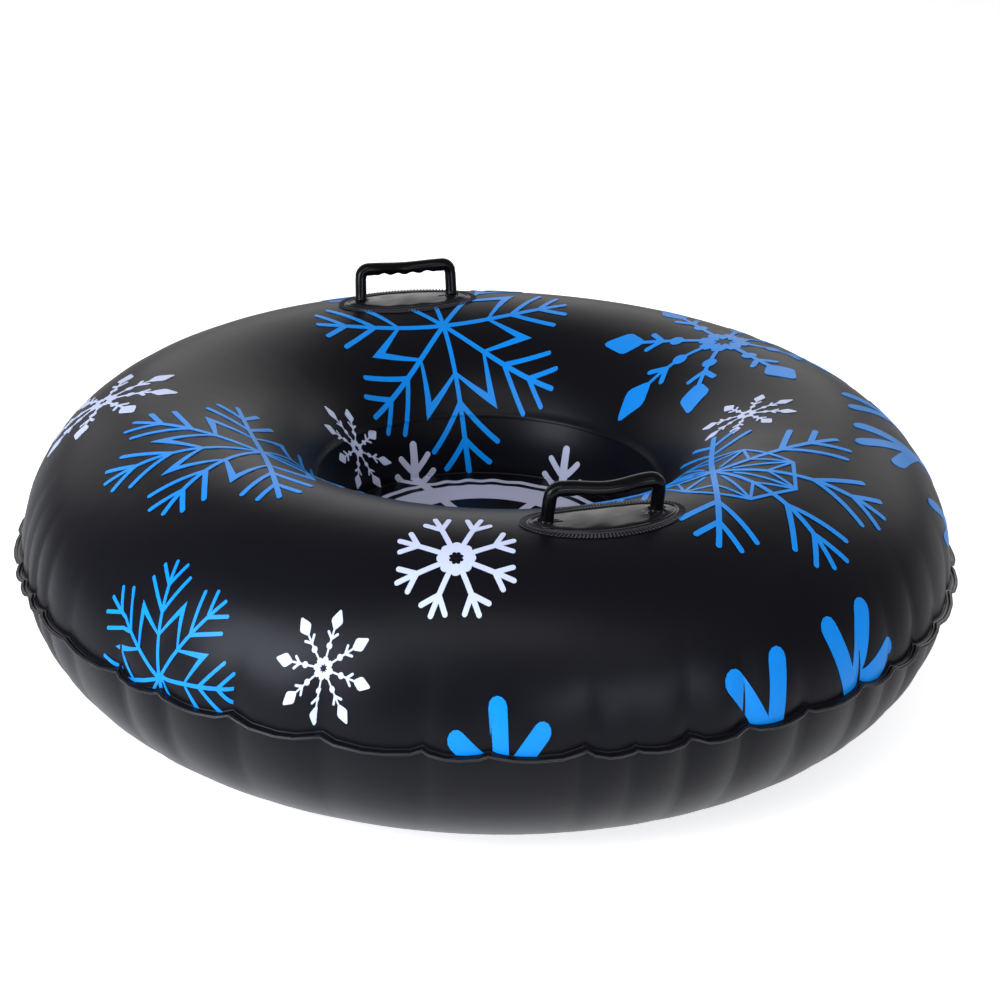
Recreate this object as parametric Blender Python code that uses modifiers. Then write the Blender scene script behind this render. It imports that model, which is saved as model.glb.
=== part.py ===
"""Inflatable snow tube with a seat floor, two tilting handles and a screw valve.

Metres, +Z up. The tube stands on z = 0 with its centre on the origin.
Run it with blender --background --python part.py, or from Blender's text editor.
"""

import math

import bmesh
import bpy
from mathutils import Matrix, Vector

# Fits
GAP = 0.0003
OVERRUN = 0.002
MERGE = 0.00005
SMALL_SIDES = 12
ROUND_SIDES = 20

# Inflated tube: an ellipse above the seam, a flatter one below it that the floor cuts off
SEAM_RADIUS = 0.490
SEAM_HEIGHT = 0.1447
SECTION_HALF_WIDTH = 0.1614
CROWN_RISE = 0.1557
FLOOR_CUT = 0.002
BELLY_DROP = SEAM_HEIGHT + FLOOR_CUT
SKIN = 0.0009
LIP_WIDTH = 0.009
CREST_RADIUS = SEAM_RADIUS - SECTION_HALF_WIDTH
WELL_RADIUS = CREST_RADIUS - SECTION_HALF_WIDTH
CROWN_DEGREES = (180, 168, 150, 130, 110, 90, 70, 50, 30, 12)
BELLY_OUTER_DEGREES = (-12, -30, -52)
BELLY_INNER_DEGREES = (-128, -150, -168)
SEAT_RING_SHARE = 0.5

# Folds that the welded seam draws into both sheets
FOLD_COUNT = 48
SEGMENTS_PER_FOLD = 2
FOLD_DRAW_IN = 0.008
FOLD_LIFT = 0.007
CROWN_FOLD_REACH = 0.14
BELLY_FOLD_REACH = 0.19

# Handles: a moulded bail on a T-shaped foot at each leg, the feet trapped under a patch
HANDLE_AZIMUTHS = {"front": -71.2, "rear": 108.1}
HANDLE_INSET = 0.0006
HANDLE_LINE_RADIUS = CREST_RADIUS - HANDLE_INSET
HANDLE_LEAN = math.radians(10.5)
LEG_SPREAD = 0.109
GRIP_SPREAD = 0.107
GRIP_HEIGHT = 0.037
GRIP_RADIUS = 0.00675
GRIP_SAG = 0.0026
GRIP_BOW = 0.0048
LEG_RADIUS = 0.00575
LEG_END_SHARE = 0.5
CORNER_RADIUS = 0.0085
CORNER_STEPS = 4
GRIP_STEPS = 8
FOOT_RADIUS = 0.0014
FOOT_LENGTH = 0.022
FOOT_INSET = 0.005
COLLAR_RADIUS = 0.0072
COLLAR_HEIGHT = 0.0024
COLLAR_DEPTH = 0.002
FINGER_PITCH = 0.0169
FINGER_COUNT = 4
FINGER_RADIUS = 0.009
FINGER_DEPTH = 0.0015

# Handle patches: an oval cap welded on at its border, domed over the feet
PATCH_LENGTH = 0.166
PATCH_WIDTH = 0.070
PATCH_SHEET = 0.0006
PATCH_STEPS = 36
PATCH_OFFSETS = {"front": 0.004, "rear": 0.0}
BORDER_WIDTH = 0.008
LIP_RIDGE_WIDTH = 0.003
LIP_RIDGE_RISE = 0.0013
DOME_SLOPE_WIDTH = 0.0045
FOOT_ROOM = 0.0004
DOME_HEIGHT = GAP + 2 * FOOT_RADIUS + FOOT_ROOM + PATCH_SHEET
DOME_DIP = 0.0012
DOME_INNER_SHARES = (0.42, 0.18)
SLOT_HALF_WIDTH = 0.0078
SLOT_HALF_LENGTH = 0.0105
AXIS_HEIGHT = SEAM_HEIGHT + CROWN_RISE + GAP + FOOT_RADIUS

# Valve on the inner wall; its heights run outwards from the skin along its axis
VALVE_AZIMUTH = math.radians(-110)
VALVE_ANGLE = math.radians(163)
VALVE_STEPS = 28
NECK_BORE = 0.011
NECK_RADIUS = 0.0135
NECK_TOP = 0.009
NECK_DEPTH = 0.009
FLANGE_RADIUS = 0.026
FLANGE_SHEET = 0.0012
RING_HEIGHT = 0.0008
RING_INSET = 0.0002
ADAPTER_WALL = 0.0027
ADAPTER_SKIRT = 0.0075
ADAPTER_FLOOR = 0.0012
NOZZLE_BORE = 0.0065
NOZZLE_WALL = 0.002
NOZZLE_HEIGHT = 0.0060
AIR_HOLE_RADIUS = 0.0016
AIR_HOLE_CIRCLE = 0.0040
AIR_HOLE_COUNT = 4
STEM_RADIUS = 0.0008
STEM_HOLE_RADIUS = STEM_RADIUS + GAP
STEM_HEAD_RADIUS = 0.0017
STEM_HEAD_HEIGHT = 0.0008
DIAPHRAGM_RADIUS = 0.0062
DIAPHRAGM_SHEET = 0.0010
DIAPHRAGM_TRAVEL = 0.0020
STRAP_RING_WALL = 0.0018
STRAP_SHEET = 0.0014
STRAP_WIDTH = 0.006
STRAP_REACH = 0.003
CAP_WALL = 0.0022
CAP_TOP = 0.0015

SHARP_ANGLE = math.radians(40)
VINYL = (0.011, 0.011, 0.013)
GLOSS_BLACK = (0.006, 0.006, 0.007)
PATCH_GREY = (0.03, 0.03, 0.034)
VALVE_BLACK = (0.015, 0.015, 0.017)
RUBBER_GREY = (0.05, 0.05, 0.055)


def clear_scene():
    for obj in list(bpy.data.objects):
        bpy.data.objects.remove(obj, do_unlink=True)


def new_collection(name):
    collection = bpy.data.collections.new(name)
    bpy.context.scene.collection.children.link(collection)
    return collection


def give_material(obj, colour, roughness, metallic=0.0):
    material = bpy.data.materials.new(obj.name)
    material.use_nodes = True
    shader = material.node_tree.nodes["Principled BSDF"]
    shader.inputs["Base Color"].default_value = (*colour, 1.0)
    shader.inputs["Roughness"].default_value = roughness
    shader.inputs["Metallic"].default_value = metallic
    obj.data.materials.clear()
    obj.data.materials.append(material)


def new_object(name, data, collection):
    obj = bpy.data.objects.new(name, data)
    collection.objects.link(obj)
    return obj


def freeze(obj):
    """Turn an object and its modifiers into a plain mesh, with the caps of a curve welded."""
    bpy.context.view_layer.update()
    evaluated = obj.evaluated_get(bpy.context.evaluated_depsgraph_get())
    mesh = bpy.data.meshes.new_from_object(evaluated)
    body = bmesh.new()
    body.from_mesh(mesh)
    bmesh.ops.remove_doubles(body, verts=body.verts, dist=MERGE)
    body.to_mesh(mesh)
    body.free()
    return mesh


def smooth(mesh):
    mesh.shade_smooth()
    mesh.set_sharp_from_angle(angle=SHARP_ANGLE)


def turned(name, profile, steps, collection, closed=False):
    """Turn a profile of (radius, height) points about Z; its outer side runs downwards."""
    edges = [(i, i + 1) for i in range(len(profile) - 1)]
    if closed:
        edges.append((len(profile) - 1, 0))
    mesh = bpy.data.meshes.new(name)
    mesh.from_pydata([(radius, 0, height) for radius, height in profile], edges, [])
    obj = new_object(name, mesh, collection)
    screw = obj.modifiers.new("turn", "SCREW")
    screw.steps = steps
    screw.render_steps = steps
    screw.use_merge_vertices = True
    screw.merge_threshold = MERGE
    screw.use_smooth_shade = True
    return obj


def cylinder_form(name, radius, length, matrix, sides, collection, stretch=1.0):
    """A cylinder along its own Z, used to cut or to join; stretch widens it along its Y."""
    mesh = bpy.data.meshes.new(name)
    body = bmesh.new()
    bmesh.ops.create_cone(body, cap_ends=True, segments=sides, radius1=radius,
                          radius2=radius, depth=length)
    bmesh.ops.scale(body, vec=(1, stretch, 1), verts=body.verts)
    body.to_mesh(mesh)
    body.free()
    obj = new_object(name, mesh, collection)
    obj.matrix_world = matrix
    obj.hide_render = True
    obj.display_type = "WIRE"
    return obj


def add_boolean(obj, form, operation):
    modifier = obj.modifiers.new(form.name, "BOOLEAN")
    modifier.operation = operation
    modifier.solver = "EXACT"
    modifier.object = form


def section(angle):
    """Radius and height of the inflated skin; 0 at the outer seam, 90 degrees at the crest."""
    rise = CROWN_RISE if math.sin(angle) > 0 else BELLY_DROP
    height = SEAM_HEIGHT + rise * math.sin(angle)
    return CREST_RADIUS + SECTION_HALF_WIDTH * math.cos(angle), max(height, 0)


def section_normal(angle):
    """Unit vector (radius, height) that points out of the crown."""
    return Vector((math.cos(angle) / SECTION_HALF_WIDTH, math.sin(angle) / CROWN_RISE)).normalized()


def skin_point(azimuth, angle, lift):
    """World point at a lift above the crown's skin."""
    radius, height = section(angle)
    normal = section_normal(angle)
    radius += normal.x * lift
    return Vector((radius * math.cos(azimuth), radius * math.sin(azimuth), height + normal.y * lift))


def ruffle(mesh, reach):
    """Draw each fold of the seam inwards and upwards, fading over the reach."""
    for vertex in mesh.vertices:
        radius = math.hypot(vertex.co.x, vertex.co.y)
        if radius < WELL_RADIUS:
            continue
        distance = math.hypot(max(SEAM_RADIUS - radius, 0), vertex.co.z - SEAM_HEIGHT)
        fade_share = max(1 - distance / reach, 0) ** 2
        azimuth = math.atan2(vertex.co.y, vertex.co.x)
        fold_share = 0.5 - 0.5 * math.cos(FOLD_COUNT * azimuth)
        new_radius = radius - FOLD_DRAW_IN * fold_share * fade_share
        vertex.co.x *= new_radius / radius
        vertex.co.y *= new_radius / radius
        vertex.co.z += FOLD_LIFT * (fold_share - 0.5) * fade_share


def add_skin_thickness(obj):
    solidify = obj.modifiers.new("skin", "SOLIDIFY")
    solidify.thickness = SKIN
    solidify.offset = -1
    solidify.use_even_offset = True


def make_sheet(name, profile, reach, parts):
    """Turn one sheet's outer face, ruffle it and give it the skin's thickness."""
    obj = turned(name, profile, FOLD_COUNT * SEGMENTS_PER_FOLD, parts)
    mesh = freeze(obj)
    obj.modifiers.clear()
    obj.data = mesh
    ruffle(mesh, reach)
    mesh.shade_smooth()
    add_skin_thickness(obj)
    give_material(obj, VINYL, 0.38)
    return obj


def make_top_sheet(parts):
    face = SEAM_HEIGHT + GAP / 2 + SKIN
    profile = [(0, face), (WELL_RADIUS * SEAT_RING_SHARE, face), (WELL_RADIUS, face)]
    profile += [section(math.radians(degrees)) for degrees in CROWN_DEGREES[1:]]
    profile += [(SEAM_RADIUS, face), (SEAM_RADIUS + LIP_WIDTH, face)]
    return make_sheet("top_sheet", profile, CROWN_FOLD_REACH, parts)


def make_bottom_sheet(parts):
    face = SEAM_HEIGHT - GAP / 2 - SKIN
    floor_angle = math.asin(SEAM_HEIGHT / BELLY_DROP)
    profile = [(SEAM_RADIUS + LIP_WIDTH, face), (SEAM_RADIUS, face)]
    profile += [section(math.radians(degrees)) for degrees in BELLY_OUTER_DEGREES]
    profile += [section(-floor_angle), section(floor_angle - math.pi)]
    profile += [section(math.radians(degrees)) for degrees in BELLY_INNER_DEGREES]
    profile += [(WELL_RADIUS, face), (WELL_RADIUS * SEAT_RING_SHARE, face), (0, face)]
    return make_sheet("bottom_sheet", profile, BELLY_FOLD_REACH, parts)


def grip_point(share):
    """Grip centre line in the handle's own frame; share runs from -1 to 1 along the straight."""
    swing_share = 0.5 + 0.5 * math.cos(math.pi * share)
    return Vector((share * (GRIP_SPREAD / 2 - CORNER_RADIUS),
                   -GRIP_BOW * swing_share, GRIP_HEIGHT - GRIP_SAG * swing_share))


def handle_path():
    """Points and radius of the bail from its left foot to its right one."""
    half = [(Vector((-LEG_SPREAD / 2, 0, 0)), LEG_RADIUS * LEG_END_SHARE),
            (Vector((-LEG_SPREAD / 2, 0, FOOT_RADIUS)), LEG_RADIUS)]
    corner = Vector((CORNER_RADIUS - GRIP_SPREAD / 2, 0, GRIP_HEIGHT - CORNER_RADIUS))
    for step in range(CORNER_STEPS):
        turn = math.pi / 2 * step / CORNER_STEPS
        arc = Vector((-math.cos(turn), 0, math.sin(turn))) * CORNER_RADIUS
        half.append((corner + arc, LEG_RADIUS + (GRIP_RADIUS - LEG_RADIUS) * step / CORNER_STEPS))
    grip = [(grip_point(2 * step / GRIP_STEPS - 1), GRIP_RADIUS) for step in range(GRIP_STEPS + 1)]
    mirrored = [(Vector((-point.x, point.y, point.z)), radius) for point, radius in reversed(half)]
    return half + grip + mirrored


def make_handle_mesh(parts, forms):
    """The bail as one moulded body: legs, grip, collars, feet and finger grooves."""
    curve = bpy.data.curves.new("bail_path", "CURVE")
    curve.dimensions = "3D"
    curve.bevel_depth = 1
    curve.bevel_resolution = 2
    curve.use_fill_caps = True
    path = handle_path()
    spline = curve.splines.new("POLY")
    spline.points.add(len(path) - 1)
    for point, (place, radius) in zip(spline.points, path):
        point.co = (*place, 1)
        point.radius = radius
    bar = new_object("bail_path", curve, parts)
    body = new_object("bail_body", freeze(bar), parts)
    bpy.data.objects.remove(bar, do_unlink=True)
    across = Matrix.Rotation(math.pi / 2, 4, "Y")
    for side in (-1, 1):
        place = Vector((side * (LEG_SPREAD / 2 - FOOT_INSET), 0, 0))
        foot = cylinder_form(f"foot_{side}", FOOT_RADIUS, FOOT_LENGTH,
                             Matrix.Translation(place) @ across, SMALL_SIDES, forms)
        add_boolean(body, foot, "UNION")
        rise_share = COLLAR_HEIGHT / GRIP_HEIGHT
        leg_x = side * (LEG_SPREAD + (GRIP_SPREAD - LEG_SPREAD) * rise_share) / 2
        collar = cylinder_form(f"collar_{side}", COLLAR_RADIUS, COLLAR_DEPTH,
                               Matrix.Translation((leg_x, 0, COLLAR_HEIGHT + COLLAR_DEPTH / 2)),
                               ROUND_SIDES, forms)
        add_boolean(body, collar, "UNION")
    along = Matrix.Rotation(math.pi / 2, 4, "X")
    for number in range(FINGER_COUNT):
        reach = FINGER_PITCH * (number - (FINGER_COUNT - 1) / 2)
        centre = grip_point(reach / (GRIP_SPREAD / 2 - CORNER_RADIUS))
        centre.z += FINGER_DEPTH - GRIP_RADIUS - FINGER_RADIUS
        groove = cylinder_form(f"finger_{number}", FINGER_RADIUS, 4 * GRIP_RADIUS,
                               Matrix.Translation(centre) @ along, ROUND_SIDES, forms)
        add_boolean(body, groove, "DIFFERENCE")
    mesh = freeze(body)
    bpy.data.objects.remove(body, do_unlink=True)
    smooth(mesh)
    return mesh


def make_handle(place, mesh, parts):
    """Hang the bail on an empty that lies on its tilt axis, leaning outwards as it rests."""
    azimuth = math.radians(HANDLE_AZIMUTHS[place])
    axis = new_object(f"handle_{place}_axis", None, parts)
    axis.location = (HANDLE_LINE_RADIUS * math.cos(azimuth),
                     HANDLE_LINE_RADIUS * math.sin(azimuth), AXIS_HEIGHT)
    axis.rotation_euler.z = azimuth + math.pi / 2
    handle = new_object(f"handle_{place}", mesh, parts)
    handle.parent = axis
    handle.rotation_euler.x = HANDLE_LEAN
    give_material(handle, GLOSS_BLACK, 0.18)


def patch_profile():
    """Half width and height of the patch's upper face, from its centre to its edge."""
    edge = PATCH_WIDTH / 2
    border = edge - BORDER_WIDTH
    foot = border - LIP_RIDGE_WIDTH
    brow = foot - DOME_SLOPE_WIDTH
    flat = GAP + PATCH_SHEET
    crown_share, middle_share = DOME_INNER_SHARES
    return [(0, DOME_HEIGHT - DOME_DIP), (edge * middle_share, DOME_HEIGHT),
            (edge * crown_share, DOME_HEIGHT), (brow, DOME_HEIGHT),
            (foot, flat + LIP_RIDGE_RISE / 2), ((foot + border) / 2, flat + LIP_RIDGE_RISE),
            (border, flat), (edge, flat)]


def lay_on_crest(mesh, offset):
    """Stretch a round patch into its oval and bend it over the crest, its middle off azimuth 0."""
    stretch = (PATCH_LENGTH - PATCH_WIDTH) / 2
    full_stretch_radius = PATCH_WIDTH / 2 * DOME_INNER_SHARES[0]
    for vertex in mesh.vertices:
        radius = math.hypot(vertex.co.x, vertex.co.y)
        if radius > 0:
            share = min(radius / full_stretch_radius, 1)
            vertex.co.y *= (radius + stretch * share) / radius
        azimuth = (vertex.co.y + offset) / CREST_RADIUS
        angle = math.pi / 2 - vertex.co.x / SECTION_HALF_WIDTH
        vertex.co = skin_point(azimuth, angle, vertex.co.z)


def make_patch_mesh(parts, forms, offset):
    patch = turned("patch_body", patch_profile(), PATCH_STEPS, parts)
    patch.data = freeze(patch)
    patch.modifiers.clear()
    lay_on_crest(patch.data, offset)
    solidify = patch.modifiers.new("sheet", "SOLIDIFY")
    solidify.thickness = PATCH_SHEET
    solidify.offset = -1
    solidify.use_even_offset = True
    for side in (-1, 1):
        place = Vector((HANDLE_LINE_RADIUS, side * LEG_SPREAD / 2, AXIS_HEIGHT))
        turn = Matrix.Rotation(math.pi / 2, 4, "Z")
        slot = cylinder_form(f"slot_{side}", SLOT_HALF_WIDTH, 4 * DOME_HEIGHT,
                             Matrix.Translation(place) @ turn, ROUND_SIDES, forms,
                             SLOT_HALF_LENGTH / SLOT_HALF_WIDTH)
        add_boolean(patch, slot, "DIFFERENCE")
    mesh = freeze(patch)
    bpy.data.objects.remove(patch, do_unlink=True)
    smooth(mesh)
    return mesh


def make_patch(place, mesh, parts):
    patch = new_object(f"handle_patch_{place}", mesh, parts)
    patch.rotation_euler.z = math.radians(HANDLE_AZIMUTHS[place])
    give_material(patch, PATCH_GREY, 0.25)


def valve_frame():
    """Z out of the skin, X along the wall and Y up the wall."""
    outward = section_normal(VALVE_ANGLE)
    turn = Matrix.Rotation(VALVE_AZIMUTH, 3, "Z")
    z_axis = turn @ Vector((outward.x, 0, outward.y))
    y_axis = turn @ Vector((outward.y, 0, -outward.x))
    x_axis = y_axis.cross(z_axis)
    frame = Matrix((x_axis, y_axis, z_axis)).transposed().to_4x4()
    return Matrix.Translation(skin_point(VALVE_AZIMUTH, VALVE_ANGLE, 0)) @ frame


def bend_flange(mesh, frame):
    """Lay the part outside the neck on the curved wall, and leave the neck round."""
    inverse = frame.inverted()
    radius_here = section(VALVE_ANGLE)[0]
    step = math.hypot(SECTION_HALF_WIDTH * math.sin(VALVE_ANGLE),
                      CROWN_RISE * math.cos(VALVE_ANGLE))
    for vertex in mesh.vertices:
        if math.hypot(vertex.co.x, vertex.co.y) > NECK_RADIUS + GAP / 2:
            azimuth = VALVE_AZIMUTH - vertex.co.x / radius_here
            angle = VALVE_ANGLE - vertex.co.y / step
            vertex.co = inverse @ skin_point(azimuth, angle, vertex.co.z)


def make_valve_base(parts, frame):
    flange_top = GAP + FLANGE_SHEET
    root = NECK_RADIUS + FLANGE_SHEET
    profile = [(NECK_BORE, NECK_TOP), (NECK_RADIUS, NECK_TOP), (NECK_RADIUS, flange_top + FLANGE_SHEET),
               (root, flange_top), (FLANGE_RADIUS, flange_top), (FLANGE_RADIUS, GAP), (root, GAP),
               (NECK_RADIUS, 0), (NECK_RADIUS, -NECK_DEPTH), (NECK_BORE, -NECK_DEPTH)]
    base = turned("valve_base", profile, VALVE_STEPS, parts, closed=True)
    base.data = freeze(base)
    base.modifiers.clear()
    bend_flange(base.data, frame)
    smooth(base.data)
    base.matrix_world = frame
    give_material(base, VALVE_BLACK, 0.35)


def cut_valve_hole(top_sheet, frame, forms):
    hole = cylinder_form("valve_hole", NECK_RADIUS + GAP, 2 * (NECK_DEPTH + NECK_TOP),
                         frame, VALVE_STEPS, forms)
    add_boolean(top_sheet, hole, "DIFFERENCE")


def make_seal_ring(parts, frame):
    low = NECK_TOP + GAP
    inner = NECK_BORE + RING_INSET
    outer = NECK_RADIUS - RING_INSET
    profile = [(inner, low + RING_HEIGHT), (outer, low + RING_HEIGHT), (outer, low), (inner, low)]
    ring = turned("valve_seal_ring", profile, VALVE_STEPS, parts, closed=True)
    ring.matrix_world = frame
    give_material(ring, RUBBER_GREY, 0.7)


def adapter_floor_low():
    return NECK_TOP + RING_HEIGHT + 2 * GAP


def make_adapter(parts, forms, frame):
    """Screws over the neck and carries the nozzle, with air holes in its floor."""
    low = adapter_floor_low()
    high = low + ADAPTER_FLOOR
    skirt_inner = NECK_RADIUS + GAP
    skirt_outer = skirt_inner + ADAPTER_WALL
    nozzle_outer = NOZZLE_BORE + NOZZLE_WALL
    profile = [(0, high), (NOZZLE_BORE, high), (NOZZLE_BORE, high + NOZZLE_HEIGHT),
               (nozzle_outer, high + NOZZLE_HEIGHT), (nozzle_outer, high), (skirt_outer, high),
               (skirt_outer, high - ADAPTER_SKIRT), (skirt_inner, high - ADAPTER_SKIRT),
               (skirt_inner, low), (0, low)]
    adapter = turned("valve_adapter", profile, VALVE_STEPS, parts)
    adapter.matrix_world = frame
    depth = ADAPTER_FLOOR + 2 * OVERRUN
    centre = Matrix.Translation((0, 0, low + ADAPTER_FLOOR / 2))
    hole = cylinder_form("stem_hole", STEM_HOLE_RADIUS, depth, frame @ centre, SMALL_SIDES, forms)
    add_boolean(adapter, hole, "DIFFERENCE")
    for number in range(AIR_HOLE_COUNT):
        turn = 2 * math.pi * number / AIR_HOLE_COUNT
        reach = Vector((math.cos(turn), math.sin(turn), 0)) * AIR_HOLE_CIRCLE
        place = frame @ centre @ Matrix.Translation(reach)
        hole = cylinder_form(f"air_hole_{number}", AIR_HOLE_RADIUS, depth, place, SMALL_SIDES, forms)
        add_boolean(adapter, hole, "DIFFERENCE")
    give_material(adapter, VALVE_BLACK, 0.3)


def make_diaphragm(parts, frame):
    """A rubber flap under the adapter's floor, held by its stem and head."""
    top = adapter_floor_low() - GAP
    head = adapter_floor_low() + ADAPTER_FLOOR + DIAPHRAGM_TRAVEL + GAP
    profile = [(0, head + STEM_HEAD_HEIGHT), (STEM_HEAD_RADIUS, head + STEM_HEAD_HEIGHT / 2),
               (STEM_HEAD_RADIUS, head), (STEM_RADIUS, head), (STEM_RADIUS, top),
               (DIAPHRAGM_RADIUS, top), (DIAPHRAGM_RADIUS, top - DIAPHRAGM_SHEET),
               (0, top - DIAPHRAGM_SHEET)]
    flap = turned("valve_diaphragm", profile, ROUND_SIDES, parts)
    flap.matrix_world = frame
    give_material(flap, RUBBER_GREY, 0.6)


def strap_ring_low():
    return adapter_floor_low() + ADAPTER_FLOOR + GAP


def make_cap(parts, frame):
    low = strap_ring_low() + STRAP_SHEET + GAP
    ceiling = adapter_floor_low() + ADAPTER_FLOOR + NOZZLE_HEIGHT + GAP
    inner = NOZZLE_BORE + NOZZLE_WALL + GAP
    outer = inner + CAP_WALL
    profile = [(0, ceiling + CAP_TOP), (outer - CAP_TOP / 2, ceiling + CAP_TOP),
               (outer, ceiling + CAP_TOP / 2), (outer, low), (inner, low), (inner, ceiling), (0, ceiling)]
    cap = turned("valve_cap", profile, VALVE_STEPS, parts)
    cap.matrix_world = frame
    give_material(cap, VALVE_BLACK, 0.28)


def make_cap_strap(parts, forms, frame):
    """A ring round the nozzle's foot with a strap that rises beside the cap."""
    low = strap_ring_low()
    inner = NOZZLE_BORE + NOZZLE_WALL + GAP
    outer = inner + STRAP_RING_WALL
    ceiling = adapter_floor_low() + ADAPTER_FLOOR + NOZZLE_HEIGHT + GAP
    profile = [(inner, low + STRAP_SHEET), (outer, low + STRAP_SHEET), (outer, low), (inner, low)]
    strap = turned("valve_cap_strap", profile, VALVE_STEPS, parts, closed=True)
    strap.matrix_world = frame
    cap_side = inner + CAP_WALL + GAP
    reach = cap_side + STRAP_SHEET
    root = inner + STRAP_RING_WALL / 2
    outline = [(root, low), (reach + STRAP_REACH / 2, low), (reach + STRAP_REACH, low + STRAP_SHEET),
               (reach, ceiling + CAP_TOP), (cap_side, ceiling + CAP_TOP / 2),
               (reach + STRAP_REACH / 2, low + STRAP_SHEET), (root, low + STRAP_SHEET)]
    body = bmesh.new()
    face = body.faces.new([body.verts.new((x, -STRAP_WIDTH / 2, z)) for x, z in outline])
    pushed = bmesh.ops.extrude_face_region(body, geom=[face])
    moved = [item for item in pushed["geom"] if isinstance(item, bmesh.types.BMVert)]
    bmesh.ops.translate(body, vec=(0, STRAP_WIDTH, 0), verts=moved)
    bmesh.ops.recalc_face_normals(body, faces=body.faces)
    mesh = bpy.data.meshes.new("strap_band")
    body.to_mesh(mesh)
    body.free()
    band = new_object("strap_band", mesh, forms)
    band.matrix_world = frame
    band.hide_render = True
    band.display_type = "WIRE"
    add_boolean(strap, band, "UNION")
    give_material(strap, VALVE_BLACK, 0.45)


def main():
    clear_scene()
    parts = new_collection("snow_tube")
    forms = new_collection("cutters")
    top_sheet = make_top_sheet(parts)
    make_bottom_sheet(parts)
    handle_mesh = make_handle_mesh(parts, forms)
    for place in HANDLE_AZIMUTHS:
        make_handle(place, handle_mesh.copy(), parts)
        make_patch(place, make_patch_mesh(parts, forms, PATCH_OFFSETS[place]), parts)
    frame = valve_frame()
    cut_valve_hole(top_sheet, frame, forms)
    make_valve_base(parts, frame)
    make_seal_ring(parts, frame)
    make_adapter(parts, forms, frame)
    make_diaphragm(parts, frame)
    make_cap(parts, frame)
    make_cap_strap(parts, forms, frame)


main()
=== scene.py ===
"""Looks of the inflatable snow tube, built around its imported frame. Metres, +Z up.

The tube stands on the floor with its centre over the origin and its front handle towards -Y.
"""
import math

import bpy
import numpy as np
from mathutils import Matrix, Vector
from mathutils.geometry import delaunay_2d_cdt


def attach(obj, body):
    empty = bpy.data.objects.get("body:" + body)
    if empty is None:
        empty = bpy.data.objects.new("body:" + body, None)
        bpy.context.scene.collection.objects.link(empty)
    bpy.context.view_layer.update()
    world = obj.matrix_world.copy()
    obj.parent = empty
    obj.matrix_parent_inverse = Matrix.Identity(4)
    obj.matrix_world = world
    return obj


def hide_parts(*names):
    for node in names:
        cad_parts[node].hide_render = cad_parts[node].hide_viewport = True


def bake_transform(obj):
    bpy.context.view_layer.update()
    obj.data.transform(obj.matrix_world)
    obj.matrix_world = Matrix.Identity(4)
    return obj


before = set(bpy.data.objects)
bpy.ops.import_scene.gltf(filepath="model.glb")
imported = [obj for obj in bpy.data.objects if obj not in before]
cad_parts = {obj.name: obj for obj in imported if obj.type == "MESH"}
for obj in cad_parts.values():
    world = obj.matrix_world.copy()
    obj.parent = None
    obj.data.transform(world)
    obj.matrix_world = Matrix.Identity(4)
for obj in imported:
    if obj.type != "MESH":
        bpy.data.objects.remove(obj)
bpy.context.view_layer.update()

MM = 0.001
NEAR = 0.1 * MM

# Photograph's view: a long lens in front of the tube, 24 degrees down, slightly rolled
CAMERA_PLACE = Vector((0, -2.3948, 1.2053))
CAMERA_AIM = Vector((0.01252, 0, 0.18422))
CAMERA_ROLL = math.radians(1.832)
CAMERA_LENS_MM = 88.085
CAMERA_SENSOR_MM = 36

# Inflated skin, as the frame's sheets have it
SEAM_RADIUS = 0.490
SEAM_HEIGHT = 0.1447
SECTION_HALF_WIDTH = 0.1614
CROWN_RISE = 0.1557
FLOOR_CUT = 2 * MM
BELLY_DROP = SEAM_HEIGHT + FLOOR_CUT
CREST_RADIUS = SEAM_RADIUS - SECTION_HALF_WIDTH
WELL_RADIUS = CREST_RADIUS - SECTION_HALF_WIDTH
SKIN = 0.9 * MM
WELD_GAP = 0.3 * MM
LIP_FACE = WELD_GAP / 2 + SKIN

# Folds that the outer weld draws into both sheets
FOLD_COUNT = 48
COLUMNS_PER_FOLD = 15
COLUMNS = FOLD_COUNT * COLUMNS_PER_FOLD
CROWN_ROWS = 40
LIP_ROWS_MM = (1.1, 1.8, 2.5, 4.7, 5.4, 6.1, 8.0)
LIP_BEAD_SHARES = (0, 1, 0, 0, 1, 0, 0)
LIP_BEAD_RISE = 0.8 * MM
WALL_BEAD_HEIGHT = 0.210
WALL_BEAD_HALF_WIDTH = 2.0 * MM
WALL_BEAD_RISE = 1.2 * MM
SEAT_RINGS_MM = (164.5, 161, 156, 148, 134, 112, 84, 52, 20)
COLUMN_CROWDING = 0.62
ROW_CROWDING = 0.76
FRONT_FOLDS = (
    (-165.9, 0.75), (-161.3, 0.5), (-156.9, 0.7), (-152.1, 0.55), (-144.6, 0.45), (-134.4, 0.8),
    (-127.4, 0.6), (-117.6, 1.0), (-107.3, 1.0), (-96.1, 0.75), (-89.0, 0.6), (-79.0, 1.0),
    (-73.5, 0.45), (-67.2, 1.0), (-60.5, 0.95), (-52.3, 0.7), (-43.0, 0.8), (-37.1, 0.6),
    (-30.6, 0.75), (-23.4, 0.6), (-14.6, 0.8))
FOLD_SEED = 7
FOLD_SCATTER_SHARE = 0.26
FOLD_STRENGTHS_BEHIND = (0.45, 1.0)
FOLD_DRAW_IN = 9 * MM
BROAD_DRAW_SHARE = 0.5
CREASE_DRAW_SHARE = 0.34
FOLD_LIFT = 7.5 * MM
BROAD_LIFT_SHARE = 0.6
BETWEEN_DROP_SHARE = 0.12
CREASE_LIFT_SHARE = 0.4
CREASE_HALF_WIDTH = 5 * MM
CREASE_PEAK_REACH = 14 * MM
BROAD_FADE_POWER = 1.4
CREASE_FADE_POWER = 1.3
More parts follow.
